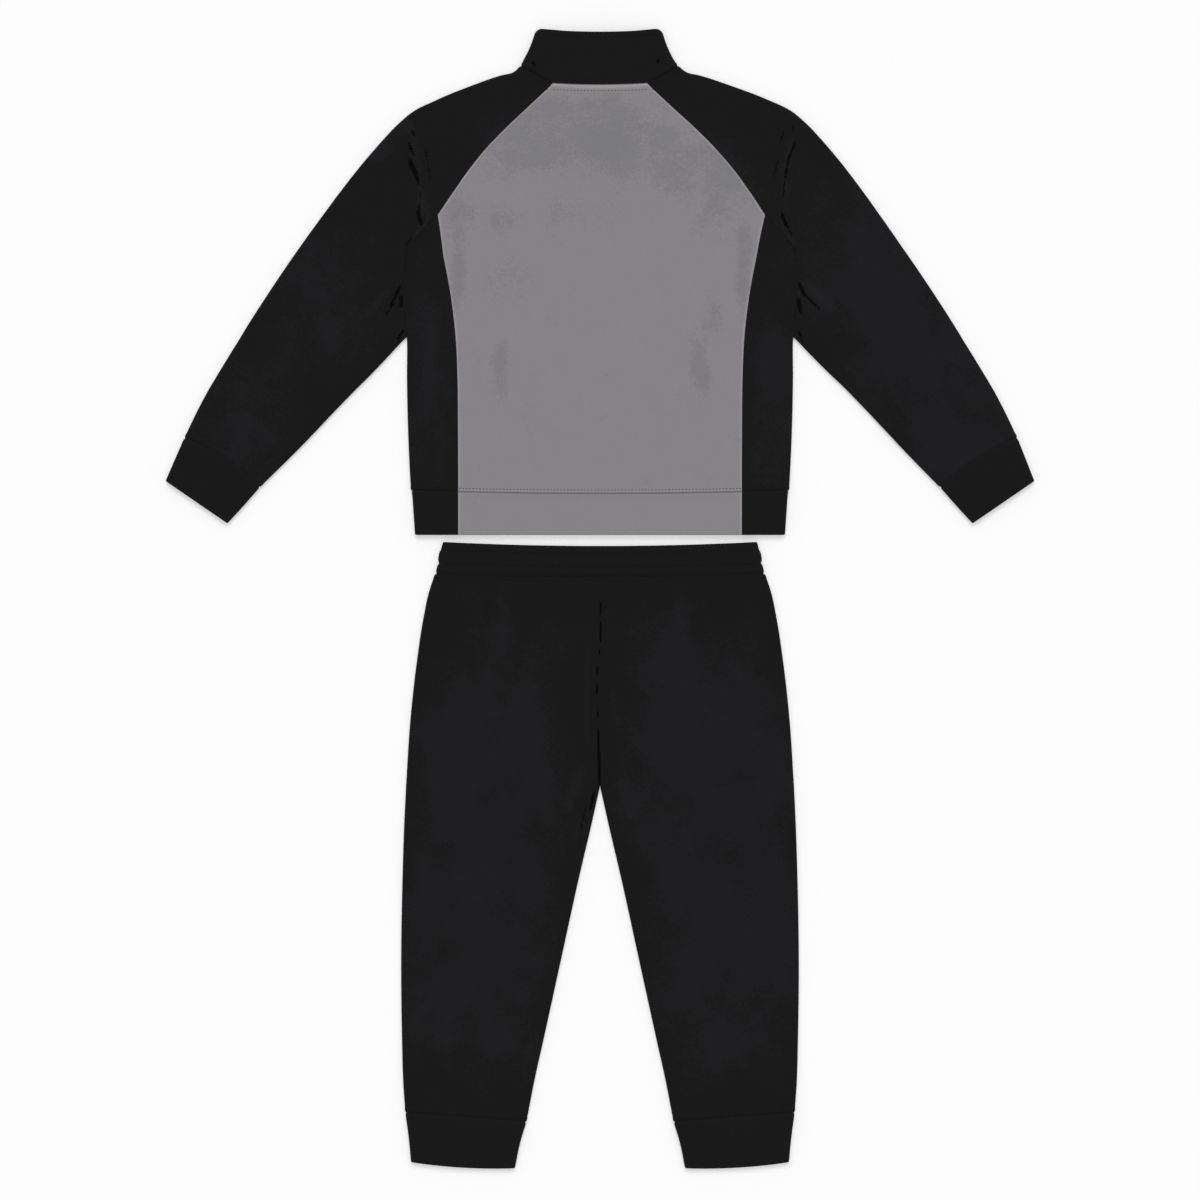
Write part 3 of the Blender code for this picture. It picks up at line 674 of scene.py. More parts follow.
# %% [markdown]
# ## From pattern rows to a shell
#
# A shell is a grid of point pairs, an outer and an inner one. Points stand closer at the
# edges, where the cloth does most. At a seam it dips into a groove, with a low ridge beside it
# where the allowance is turned under. At a fold it turns down to the middle height, and at a hem
# the wall is rounded.

# %% rows of the shell
EDGE_STEPS = (0.0, 0.3, 0.7, 1.2, 1.8, 2.6, 3.5, 4.6)
HEM_STEPS = (0.0, 0.12, 0.35, 0.7, 1.1, 1.8, 2.8, 4.2)
FINE_PITCH = 2.6
COARSE_PITCH = 5.5
FIRST_TURN = 0.03
FAR = 99.0


def straight(a, b, bow=(0.0, 0.0)):
    """A row from a to b whose middle is bowed, as a function of distance, and its length."""
    a, b, bow = Vector(a), Vector(b), Vector(bow)
    length = (b - a).length

    def at(distance):
        part = distance / length
        return a.lerp(b, part) + bow * (4 * part * (1 - part))

    return at, length


SEAM = (0.0, 0.0)
FOLD = (1.0, 0.0)


def end_stations(cloth, fold):
    """Distances of the outer and inner point from a row's end, and how far they turn over."""
    stations = []
    for k, step in enumerate(EDGE_STEPS):
        turn = mix(FIRST_TURN, math.pi / 2, k / (len(EDGE_STEPS) - 1))
        outer = mix(step, EDGE_RADIUS * (1 - math.cos(turn)), fold)
        inner = mix(step, EDGE_RADIUS - (EDGE_RADIUS - cloth.wall) * math.cos(turn), fold)
        stations.append((outer, inner, fold * (1 - math.sin(turn))))
    return stations


def layer(cloth, row, side, upper, columns, start=SEAM, end=SEAM):
    """
    One layer of cloth along a row. start and end say how much each end is a fold, and how far
    that fold's edge lies above or below the middle height.
    """
    at, length = row
    first = end_stations(cloth, start[0])
    last = end_stations(cloth, end[0])
    from_here, to_there = first[-1][0], length - last[-1][0]
    between = [mix(from_here, to_there, k / columns) for k in range(1, columns)]
    stations = [(outer, inner, turned, start[1]) for outer, inner, turned in first]
    stations += [(distance, distance, 0.0, 0.0) for distance in between]
    stations += [(length - outer, length - inner, turned, end[1]) for outer, inner, turned in last[::-1]]
    pairs = []
    for outer_at, inner_at, turned, rise in stations:
        pair = []
        nap_and_shading = [0.0, 0.0, 0.0]
        for distance, is_outer in ((outer_at, True), (inner_at, False)):
            place = at(distance)
            x, y = side * place.x, place.y
            floor, inside, top, shown = cloth.heights(x, y)
            if upper:
                z = top if is_outer else inside
                nap_and_shading = [max(pair_of) for pair_of in zip(nap_and_shading, shown)]
            else:
                z = floor if is_outer else floor + cloth.wall
            middle = (floor + inside + cloth.wall) / 2 + rise
            pair.append(Vector((x + drift(x, y), y, mix(z, middle, turned))))
        away = min(mix(outer_at, FAR, start[0]), mix(length - outer_at, FAR, end[0]))
        pairs.append((*pair, away, *nap_and_shading))
    return pairs


# %% the shell itself
GROOVE_WIDTH = 0.8
RIDGE = 0.28
RIDGE_AT = 2.4
RIDGE_WIDTH = 1.3
SUNK_REACH = 4.5
SHADE_REACH = 1.2


def seam_relief(away, groove, sunk):
    """
    A seam's groove with the low ridge of its allowance beside it. A thick band is also drawn
    down to its thinner neighbour, by sunk.
    """
    if away > 8:
        return 0.0
    ridge = RIDGE * math.exp(-((away - RIDGE_AT) / RIDGE_WIDTH) ** 2)
    return ridge - groove * math.exp(-(away / GROOVE_WIDTH) ** 2) - sunk * smooth(1 - away / SUNK_REACH)


def part_steps(length, pitch, first, last):
    """Where the rows of a shell lie, as parts of its length."""
    steps = {"seam": EDGE_STEPS, "hem": HEM_STEPS}
    start = [distance / length for distance in steps[first]]
    end = [1 - distance / length for distance in steps[last]][::-1]
    count = max(2, round((end[0] - start[-1]) * length / pitch))
    return start + [mix(start[-1], end[0], k / count) for k in range(1, count)] + end


def finish_edges(rows, first, last, groove, painted_light, sunk, shade):
    """
    Presses the seams in and rounds the hems of a grid of point pairs, and returns a painted highlight along the
    seams, with widths given for the first row, the last row and the sides, less a painted shade along the seam's
    groove in the first and last row, as dark as shade says.
    """
    sides = [[point[2] for point in row] for row in rows]
    lighter = [[max(0.0, 1 - away / painted_light[2]) for away in row] for row in sides]
    for row_end, kind, width, dark in ((0, first, painted_light[0], shade[0]), (-1, last, painted_light[1], shade[1])):
        edge = [Vector(point[0]) for point in rows[row_end]]
        for i, row in enumerate(rows):
            for j, (outer, inner, away, *nap_and_shading) in enumerate(row):
                distance = (outer - edge[j]).length
                radius = (outer - inner).length / 2
                if kind == "seam":
                    row[j] = (outer, inner, min(away, distance + EDGE_STEPS[0]), *nap_and_shading)
                    lighter[i][j] = max(lighter[i][j], smooth(1.6 - 1.6 * distance / width))
                    lighter[i][j] -= dark * max(0.0, 1 - distance / SHADE_REACH)
                elif distance < radius:
                    share = 0.96 * (1 - math.sqrt(1 - (1 - distance / radius) ** 2))
                    middle = (outer + inner) / 2
                    row[j] = (outer.lerp(middle, share), inner.lerp(middle, share), away, *nap_and_shading)
    for row in rows:
        for j, (outer, inner, away, *nap_and_shading) in enumerate(row):
            outer = outer + (outer - inner).normalized() * seam_relief(away, groove, sunk)
            row[j] = (outer, inner, away, *nap_and_shading)
    return lighter


HAIRLINE_PAINTED_LIGHT = (0.01, 0.01, 0.01)


def shell(name, rows, first, last, material, groove=0.35, painted_light=HAIRLINE_PAINTED_LIGHT, sunk=0.0,
          shade=(0.0, 0.0)):
    """Makes a closed thin wall from rows of point pairs, with the cloth's own map on it."""
    lighter = finish_edges(rows, first, last, groove, painted_light, sunk, shade)
    count, width = len(rows), len(rows[0])
    middle = width // 2
    v_along = running_lengths([row[middle][0] for row in rows])
    vertices, uv, painted_light_and_shade, crease_shade_depth, nap_and_fold_shading = [], [], [], [], []
    for face in (0, 1):
        for i, row in enumerate(rows):
            u_across = running_lengths([pair[0] for pair in row])
            for j, pair in enumerate(row):
                vertices.append(pair[face] * MM)
                uv.append(((u_across[j] - u_across[middle]) * MM, v_along[i] * MM))
                # Painted light for the knit: highlights along seam edges and ridges less shade in the seam grooves,
                # shade in creases, and nap patches with painted fold shading.
                painted_light_and_shade.append(lighter[i][j] + pair[5])
                crease_shade_depth.append(pair[3])
                nap_and_fold_shading.append(pair[4])
    inner = count * width
    faces = []
    for i in range(count - 1):
        for j in range(width - 1):
            a, b = i * width + j, (i + 1) * width + j
            faces.append((a, a + 1, b + 1, b))
            faces.append((inner + a, inner + b, inner + b + 1, inner + a + 1))
    for j in range(width - 1):
        low, high = j, (count - 1) * width + j
        faces.append((low, inner + low, inner + low + 1, low + 1))
        faces.append((high, high + 1, inner + high + 1, inner + high))
    for i in range(count - 1):
        left, right = i * width, i * width + width - 1
        faces.append((left, left + width, inner + left + width, inner + left))
        faces.append((right, inner + right, inner + right + width, right + width))
    mesh = bpy.data.meshes.new(name)
    mesh.from_pydata(vertices, [], faces)
    layer_uv = mesh.uv_layers.new(name="cloth")
    flat = []
    for loop in mesh.loops:
        flat.extend(uv[loop.vertex_index])
    layer_uv.data.foreach_set("uv", flat)
    for attribute, values in (("painted_light_and_shade", painted_light_and_shade), ("crease_shade_depth", crease_shade_depth), ("nap_and_fold_shading", nap_and_fold_shading)):
        mesh.attributes.new(attribute, "FLOAT", "POINT").data.foreach_set("value", values)
    work = bmesh.new()
    work.from_mesh(mesh)
    bmesh.ops.recalc_face_normals(work, faces=work.faces)
    work.to_mesh(mesh)
    work.free()
    mesh.shade_smooth()
    mesh.set_sharp_from_angle(angle=math.radians(50))
    mesh.materials.append(material)
    return add_object(name, mesh)


# %% [markdown]
# ## Knit, thread, tape and metal
#
# The knit is drawn once, as a node group that puts out a stitch height, soft patches with painted fold shading,
# single fibres, painted crease shade and painted highlights along seams and ridges. Both knits use it with their own
# values, and each keeps its own shader. The pattern follows the cloth's own map, so the ribs of the knit run down
# each cut piece.

# %% node helpers


def add_node(tree, kind, **settings):
    node = tree.nodes.new(kind)
    for name, value in settings.items():
        setattr(node, name, value)
    return node


def calculate(tree, operation, a, b=None, clamp=False):
    """A Math node on two sockets or numbers; returns its result."""
    node = add_node(tree, "ShaderNodeMath", operation=operation, use_clamp=clamp)
    for socket, value in zip(node.inputs, (a, b)):
        if isinstance(value, bpy.types.NodeSocket):
            tree.links.new(value, socket)
        elif value is not None:
            socket.default_value = value
    return node.outputs[0]


def noise_node(tree, vector, scale, detail, roughness=0.5):
    node = add_node(tree, "ShaderNodeTexNoise")
    tree.links.new(vector, node.inputs["Vector"])
    for name, value in (("Scale", scale), ("Detail", detail), ("Roughness", roughness)):
        if isinstance(value, bpy.types.NodeSocket):
            tree.links.new(value, node.inputs[name])
        else:
            node.inputs[name].default_value = value
    return node.outputs["Fac"]


# %% knit group


def knit_group():
    """Ribs and stitches of a fine warp knit, nap patches with painted fold shading, specks, painted shade in creases,
    and painted light along seams and ridges.
    """
    group = bpy.data.node_groups.new("fine_knit", "ShaderNodeTree")
    face = group.interface
    for name, value in (("Rib Pitch", 0.0011), ("Course Pitch", 0.0013), ("Patch Scale", 14.0),
                        ("Patch Level", 1.1), ("Grain", 0.7)):
        socket = face.new_socket(name=name, in_out="INPUT", socket_type="NodeSocketFloat")
        socket.default_value = value
    for name in ("Height", "Patches", "Fibre", "Crease Shade", "Painted Light"):
        face.new_socket(name=name, in_out="OUTPUT", socket_type="NodeSocketFloat")
    given = add_node(group, "NodeGroupInput")
    result = add_node(group, "NodeGroupOutput")

    uv = add_node(group, "ShaderNodeUVMap", uv_map="cloth").outputs["UV"]
    split = add_node(group, "ShaderNodeSeparateXYZ")
    group.links.new(uv, split.inputs[0])
    ribs = calculate(group, "DIVIDE", split.outputs["X"], given.outputs["Rib Pitch"])
    across = calculate(group, "ABSOLUTE", calculate(group, "SUBTRACT", calculate(group, "FRACT", ribs), 0.5))
    rib = calculate(group, "SUBTRACT", 1.0, calculate(group, "POWER", calculate(group, "MULTIPLY", across, 2.0), 2.0))
    courses = calculate(group, "DIVIDE", split.outputs["Y"], given.outputs["Course Pitch"])
    slanted = calculate(group, "ADD", courses, across)
    stitch = calculate(group, "SINE", calculate(group, "MULTIPLY", slanted, 2 * math.pi))
    loops = calculate(group, "ADD", calculate(group, "MULTIPLY", stitch, 0.25), 0.25)
    height = calculate(group, "ADD", calculate(group, "MULTIPLY", rib, 0.5), loops)

    place = add_node(group, "ShaderNodeTexCoord").outputs["Object"]
    broad = noise_node(group, place, given.outputs["Patch Scale"], 7.0, 0.62)
    grain = calculate(group, "MULTIPLY", noise_node(group, place, 420.0, 3.0, 0.7), given.outputs["Grain"])
    # The nap patches from the mesh, with their painted fold shading.
    nap_and_fold_shading = add_node(group, "ShaderNodeAttribute", attribute_name="nap_and_fold_shading").outputs["Fac"]
    nearby = calculate(group, "MULTIPLY", nap_and_fold_shading, 0.38)
    summed = calculate(group, "ADD", calculate(group, "ADD", broad, grain), nearby)
    level = calculate(group, "SUBTRACT", summed, given.outputs["Patch Level"])
    patches = calculate(group, "ADD", calculate(group, "MULTIPLY", level, 4.0), 0.5, clamp=True)
    # Painted shade in sharp creases, with ragged edges, darker where the trough is deeper.
    uneven = calculate(group, "MULTIPLY", noise_node(group, place, 210.0, 3.0, 0.65), 1.8)
    depth = add_node(group, "ShaderNodeAttribute", attribute_name="crease_shade_depth").outputs["Fac"]
    sharp = calculate(group, "SUBTRACT", calculate(group, "ADD", depth, uneven), 1.35)
    crease = calculate(group, "MULTIPLY", sharp, 3.2, clamp=True)
    # Painted highlights along seam edges and ridges, less painted shade in seam grooves.
    painted_light = add_node(group, "ShaderNodeAttribute", attribute_name="painted_light_and_shade").outputs["Fac"]
    specks = noise_node(group, place, 900.0, 2.0, 0.6)
    group.links.new(height, result.inputs["Height"])
    group.links.new(patches, result.inputs["Patches"])
    group.links.new(specks, result.inputs["Fibre"])
    group.links.new(crease, result.inputs["Crease Shade"])
    group.links.new(painted_light, result.inputs["Painted Light"])
    return group


KNIT = knit_group()

# %% knit materials


def knit_material(name, colour, patch_colour, sheen, values, depth):
    """A knit with its two colours mixed by the group's patches and specks, darkened by painted shade in creases and
    seam grooves and lightened by painted highlights along seams and ridges.
    """
    material = plain_material(name, colour)
    tree = material.node_tree
    shader = tree.nodes["Principled BSDF"]
    knit = add_node(tree, "ShaderNodeGroup", node_tree=KNIT)
    for socket, value in values.items():
        knit.inputs[socket].default_value = value
    shades = add_node(tree, "ShaderNodeMix", data_type="RGBA")
    tree.links.new(knit.outputs["Patches"], shades.inputs["Factor"])
    shades.inputs["A"].default_value = (*colour, 1.0)
    shades.inputs["B"].default_value = (*patch_colour, 1.0)
    lighter = add_node(tree, "ShaderNodeHueSaturation")
    tree.links.new(shades.outputs["Result"], lighter.inputs["Color"])
    speckled = calculate(tree, "ADD", calculate(tree, "MULTIPLY", knit.outputs["Fibre"], 0.16), 0.92)
    # Painted highlights along seams and ridges lighten the colour; painted shade in seam grooves and creases darkens
    # it.
    painted_light_factor = calculate(tree, "ADD", calculate(tree, "MULTIPLY", knit.outputs["Painted Light"], 0.42), 1.0)
    shaded = calculate(tree, "SUBTRACT", 1.0, calculate(tree, "MULTIPLY", knit.outputs["Crease Shade"], 0.93))
    value = calculate(tree, "MULTIPLY", calculate(tree, "MULTIPLY", speckled, painted_light_factor), shaded)
    tree.links.new(value, lighter.inputs["Value"])
    tree.links.new(lighter.outputs["Color"], shader.inputs["Base Color"])
    rough = calculate(tree, "ADD", calculate(tree, "MULTIPLY", knit.outputs["Fibre"], 0.12), 0.84)
    tree.links.new(rough, shader.inputs["Roughness"])
    bump = add_node(tree, "ShaderNodeBump")
    bump.inputs["Strength"].default_value = 0.5
    bump.inputs["Distance"].default_value = depth
    tree.links.new(knit.outputs["Height"], bump.inputs["Height"])
    tree.links.new(bump.outputs["Normal"], shader.inputs["Normal"])
    shader.inputs["Specular IOR Level"].default_value = 0.12
    shader.inputs["Sheen Weight"].default_value = sheen
    shader.inputs["Sheen Roughness"].default_value = 0.5
    return material


BLACK = (0.0102, 0.0102, 0.0106)
BLACK_PATCH = (0.0148, 0.0151, 0.0168)
black_knit = knit_material("black_knit_cloth", BLACK, BLACK_PATCH, 0.02,
                           {"Patch Scale": 20.0, "Patch Level": 1.10}, 0.00012)
black_rib = knit_material("black_band_rib", BLACK, BLACK_PATCH, 0.02,
                          {"Rib Pitch": 0.0016, "Patch Scale": 22.0, "Patch Level": 1.1}, 0.0002)
grey_knit = knit_material("grey_knit_cloth", (0.334, 0.318, 0.339), (0.283, 0.276, 0.301), 0.05,
                          {"Patch Scale": 38.0, "Patch Level": 1.28, "Grain": 1.0}, 0.00012)


def thread_material(name, colour):
    """Spun thread: plies slanting along it and a dull gloss."""
    material = plain_material(name, colour, 0.7)
    tree = material.node_tree
    shader = tree.nodes["Principled BSDF"]
    place = add_node(tree, "ShaderNodeTexCoord").outputs["Object"]
    plies = add_node(tree, "ShaderNodeTexWave", wave_type="BANDS", bands_direction="DIAGONAL")
    tree.links.new(place, plies.inputs["Vector"])
    plies.inputs["Scale"].default_value = 900.0
    bump = add_node(tree, "ShaderNodeBump")
    bump.inputs["Distance"].default_value = 0.0001
    tree.links.new(plies.outputs["Fac"], bump.inputs["Height"])
    tree.links.new(bump.outputs["Normal"], shader.inputs["Normal"])
    shader.inputs["Specular IOR Level"].default_value = 0.08
    return material


black_thread = thread_material("black_sewing_thread", (0.003, 0.003, 0.0033))
grey_thread = thread_material("grey_sewing_thread", (0.03, 0.029, 0.031))

# %% zip materials


def woven_tape():
    """Zip tape: a herringbone of fine twill lines."""
    material = plain_material("zip_tape_twill", (0.0085, 0.0085, 0.009), 0.8)
    tree = material.node_tree
    shader = tree.nodes["Principled BSDF"]
    place = add_node(tree, "ShaderNodeTexCoord").outputs["Object"]
    split = add_node(tree, "ShaderNodeSeparateXYZ")
    tree.links.new(place, split.inputs[0])
    bent = calculate(tree, "PINGPONG", split.outputs["X"], 0.0012)
    slant = calculate(tree, "ADD", split.outputs["Y"], bent)
    lines = calculate(tree, "SINE", calculate(tree, "MULTIPLY", slant, 2 * math.pi / 0.0008))
    bump = add_node(tree, "ShaderNodeBump")
    bump.inputs["Distance"].default_value = 0.0001
    tree.links.new(lines, bump.inputs["Height"])
    tree.links.new(bump.outputs["Normal"], shader.inputs["Normal"])
    shader.inputs["Specular IOR Level"].default_value = 0.2
    return material


def zip_metal(name, colour, roughness, metallic):
    """Cast metal or moulded resin with fine handling marks."""
    material = plain_material(name, colour, roughness)
    tree = material.node_tree
    shader = tree.nodes["Principled BSDF"]
    shader.inputs["Metallic"].default_value = metallic
    place = add_node(tree, "ShaderNodeTexCoord").outputs["Object"]
    marks = noise_node(tree, place, 700.0, 4.0, 0.7)
    rough = calculate(tree, "ADD", calculate(tree, "MULTIPLY", marks, 0.25), roughness - 0.12)
    tree.links.new(rough, shader.inputs["Roughness"])
    bump = add_node(tree, "ShaderNodeBump")
    bump.inputs["Strength"].default_value = 0.4
    bump.inputs["Distance"].default_value = 0.00005
    tree.links.new(marks, bump.inputs["Height"])
    tree.links.new(bump.outputs["Normal"], shader.inputs["Normal"])
    return material


zip_tape = woven_tape()
zip_teeth = zip_metal("zip_tooth_resin", (0.012, 0.012, 0.013), 0.45, 0.0)
slider_metal = zip_metal("slider_dark_metal", (0.05, 0.05, 0.052), 0.38, 1.0)

# %% [markdown]
# ## Declaring a sewn piece
#
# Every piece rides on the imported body, stands for its plain solid, and says how large the
# cloth was cut. The cut's length and width are read along the piece's own rows.

# %% declare cloth
piece_sizes = {}


def declare_cloth(piece, node, rows, fullness=1.0):
    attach(piece, "root")
    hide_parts(node)
    width = max(running_lengths([pair[0] for pair in row])[-1] for row in rows) * MM * fullness
    middle = len(rows[0]) // 2
    length = max(running_lengths([row[j][0] for row in rows])[-1] for j in (0, middle, -1)) * MM
    area = sum(face.area for face in piece.data.polygons) / 2 * fullness
    area = min(area, width * length)
    piece_sizes[piece.name] = (round(width / MM), round(length / MM), round(area * 1e4))


# %% [markdown]
# ## The jacket
#
# The back runs from the neck to the hem band, and its sides follow the raglan seam and then the
# side seam. The black side panel wraps round the fold to the front.

# %% seam lines of the jacket
SLEEVE_KNOTS = running_lengths([row[:2] for row in SLEEVE_ROWS])
sleeve_fold = [curve_through(SLEEVE_KNOTS, [row[k] for row in SLEEVE_ROWS]) for k in (0, 1)]
sleeve_back = [curve_through(SLEEVE_KNOTS, [row[k] for row in SLEEVE_ROWS], (ARMHOLE, ARMPIT)) for k in (2, 3)]
sleeve_front = [curve_through(SLEEVE_KNOTS, [row[k] for row in SLEEVE_ROWS], (ARMHOLE, ARMPIT)) for k in (4, 5)]
BODY_KNOTS = [-row[0] for row in BODY_ROWS]
side_seam_x = curve_through(BODY_KNOTS, [row[1] for row in BODY_ROWS])
side_fold_x = curve_through(BODY_KNOTS, [row[2] for row in BODY_ROWS])


def place_on(curves, at):
    return Vector((curves[0](at), curves[1](at)))


def body_seam(raglan):
    """A body panel's side: down the raglan seam, then down the side seam."""
    points = [place_on(raglan, SLEEVE_KNOTS[JOINT] * k / 90) for k in range(91)]
    for k in range(1, 128):
        y = mix(JOINT_Y, HEM_SEAM_Y, k / 127)
        points.append(Vector((side_seam_x(-y), y)))
    return follow(points)


back_seam, back_seam_length = body_seam(sleeve_back)
front_seam, front_seam_length = body_seam(sleeve_front)

# %% jacket body
OVERLAP = 0.9
OVERLAP_RISE = 0.9


def jacket_back():
    rows = []
    for part in part_steps(back_seam_length, FINE_PITCH, "seam", "seam"):
        end = back_seam(part * back_seam_length)
        sag = NECK_SAG * max(0.0, 1 - 6 * part) + HEM_SEAM_SAG * smooth(2 * part - 1)
        row = straight((-end.x, end.y), end, (0, sag))
        rows.append(layer(JACKET, row, 1, True, 104))
    # Painted highlights along its seams, and a painted shade in the hem seam's groove.
    piece = shell("back_panel", rows, "seam", "seam", grey_knit, 0.5, (5.5, 2.4, 2.6), shade=(0.0, 2.2))
    declare_cloth(piece, "jacket_back", rows)


def over_sleeve(y):
    """How fully the body's fold lies over the sleeve: only between the armhole and the armpit."""
    return smooth((ARMHOLE_Y + 2 - y) / 16) * smooth((y - SLEEVE_ROWS[ARMPIT][3] + 6) / 14)


def jacket_side(name, side):
    rows = []
    for part in part_steps(JOINT_Y - HEM_SEAM_Y, FINE_PITCH, "seam", "seam"):
        seam_y = mix(JOINT_Y, HEM_SEAM_Y, part)
        fold_y = mix(ARMHOLE_Y, HEM_SEAM_FOLD[1], part)
        seam = Vector((side_seam_x(-seam_y), seam_y))
        over = over_sleeve(fold_y)
        fold = Vector((side_fold_x(-fold_y) + OVERLAP * over, fold_y))
        edge = (1.0, OVERLAP_RISE * over)
        upper = layer(JACKET, straight(seam, fold), side, True, 15, SEAM, edge)
        lower = layer(JACKET, straight(fold, seam), side, False, 10, edge, SEAM)
        rows.append(upper + lower[1:])
    piece = shell("side_panel_" + name, rows, "seam", "seam", black_knit, 0.4)
    declare_cloth(piece, "jacket_side_" + name, rows)


def jacket_front(name, side):
    rows = []
    for part in part_steps(front_seam_length, COARSE_PITCH, "seam", "seam"):
        end = front_seam(part * front_seam_length)
        neck = max(0.0, 1 - part * front_seam_length / 160)
        centre_y = end.y + (FRONT_NECK_Y - SLEEVE_ROWS[0][5]) * neck + HEM_SEAM_SAG * smooth(2 * part - 1)
        row = straight((FRONT_EDGE_X, centre_y), end, (0, FRONT_NECK_BOW * max(0.0, 1 - 5 * part)))
        rows.append(layer(JACKET, row, side, False, 24))
    piece = shell("front_panel_" + name, rows, "seam", "seam", grey_knit)
    declare_cloth(piece, "jacket_front_" + name, rows)


jacket_back()
for name, side in SIDES:
    jacket_side(name, side)
    jacket_front(name, side)

# %% [markdown]
# ## Sleeves and cuffs
#
# A raglan sleeve is one piece from the collar to the cuff. Beside the body it is open, and
# below the armhole it closes to a tube with its seam under the arm, so `closing` turns its
# edges from seams into folds over a short stretch.

# %% sleeves
CUFF_BOW = Vector((-2.5, 3.8))
CLOSING = 9.0
SLEEVE_PITCH = 1.6


def sleeve(name, side):
    rows = []
    total = SLEEVE_KNOTS[-1]
    for part in part_steps(total, SLEEVE_PITCH, "seam", "seam"):
        at = part * total
        past = at - SLEEVE_KNOTS[ARMHOLE]
        closing = smooth(past / CLOSING)
        bow = CUFF_BOW * max(0.0, past / (total - SLEEVE_KNOTS[ARMHOLE])) ** 3
        fold = place_on(sleeve_fold, at)
        back = place_on(sleeve_back, at)
        front = place_on(sleeve_front, at)
        under = over_sleeve(back.y) * closing
        tucked = (closing, -OVERLAP_RISE * under)
        back.x -= OVERLAP * under
        front.x -= OVERLAP * under
        upper = layer(JACKET, straight(back, fold, bow), side, True, 52, tucked, FOLD)
        lower = layer(JACKET, straight(fold, front), side, False, 14, FOLD, tucked)
        rows.append(upper + lower[1:])
    piece = shell("sleeve_cloth_" + name, rows, "seam", "seam", black_knit, 0.4)
    declare_cloth(piece, "sleeve_" + name, rows)


def cuff(name, node, side, table, columns):
    """A band of double knit with its seam at the inner fold."""
    knots = running_lengths([row[:2] for row in table])
    curves = [curve_through(knots, [row[k] for row in table]) for k in range(6)]
    rows = []
    for part in part_steps(knots[-1], FINE_PITCH, "seam", "hem"):
        outer_x, outer_y, inner_x, inner_y, bow_x, bow_y = [read(part * knots[-1]) for read in curves]
        inner, outer = (inner_x, inner_y), (outer_x, outer_y)
        upper = layer(BAND, straight(inner, outer, (bow_x, bow_y)), side, True, columns, FOLD, FOLD)
        lower = layer(BAND, straight(outer, inner), side, False, columns // 2, FOLD, FOLD)
        rows.append(upper + lower[1:])
    piece = shell(name, rows, "seam", "hem", black_rib, 0.15, sunk=0.8)
    declare_cloth(piece, node, rows)


for name, side in SIDES:
    sleeve(name, side)
    cuff("cuff_band_" + name, "sleeve_cuff_" + name, side, CUFF_ROWS, 32)

# %% [markdown]
# ## Collar and hem band
#
# The stand collar lies flat, folded at both sides. Its rows go from the neck seam to the top,
# from one front edge round the back to the other.

# %% collar


def collar():
    fold_x, fold_y, back_x, back_y, front_x, front_y = SLEEVE_ROWS[0]
    top_x, top_y = COLLAR_TOP_FOLD
    height = top_y - fold_y
    middle, middle_length = straight((-back_x, back_y), (back_x, back_y), (0, NECK_SAG))
    half_back = [middle(middle_length * k / 40) for k in range(20, 41)] + [Vector((fold_x, fold_y))]
    back_base = [Vector((-p.x, p.y)) for p in half_back[:0:-1]] + half_back
    front, front_length = straight((FRONT_EDGE_X, FRONT_NECK_Y), (front_x, front_y), (0, FRONT_NECK_BOW))
    front_base = [front(front_length * k / 20) for k in range(21)] + [Vector((fold_x, fold_y))]

    def raised(part, is_back):
        pinch = 1 - COLLAR_HOLLOW * 4 * part * (1 - part)
        below_top = (1 - part) * height
        if below_top < COLLAR_CORNER:
            pinch -= (COLLAR_CORNER - math.sqrt(COLLAR_CORNER ** 2 - (COLLAR_CORNER - below_top) ** 2)) / top_x

        def lift_point(base):
            if is_back:
                share = abs(base.x) / fold_x
                top = Vector((math.copysign(top_x * share, base.x), mix(COLLAR_TOP_BACK_Y, top_y, share ** 2)))
            else:
                share = (base.x - FRONT_EDGE_X) / (fold_x - FRONT_EDGE_X)
                top = Vector((mix(FRONT_EDGE_X, top_x, share), mix(COLLAR_TOP_FRONT_Y, top_y, share ** 1.7)))
            place = base.lerp(top, part)
            return Vector((place.x * mix(1, pinch, min(1.0, abs(place.x) / top_x)), place.y))

        return lift_point

    rows = []
    for part in part_steps(height, 1.4, "seam", "hem"):
        back_row = follow([raised(part, True)(point) for point in back_base])
        front_row = follow([raised(part, False)(point) for point in front_base])
        at, length = front_row
        left = layer(COLLAR, front_row, -1, False, 16, SEAM, FOLD)
        upper = layer(COLLAR, back_row, 1, True, 90, FOLD, FOLD)
        right_row = (lambda d, at=at, length=length: at(length - d), length)
        right = layer(COLLAR, right_row, 1, False, 16, FOLD, SEAM)
        rows.append(left + upper[1:] + right[1:])
    piece = shell("stand_collar", rows, "seam", "hem", black_rib)
    declare_cloth(piece, "collar", rows)


collar()

# %% hem band


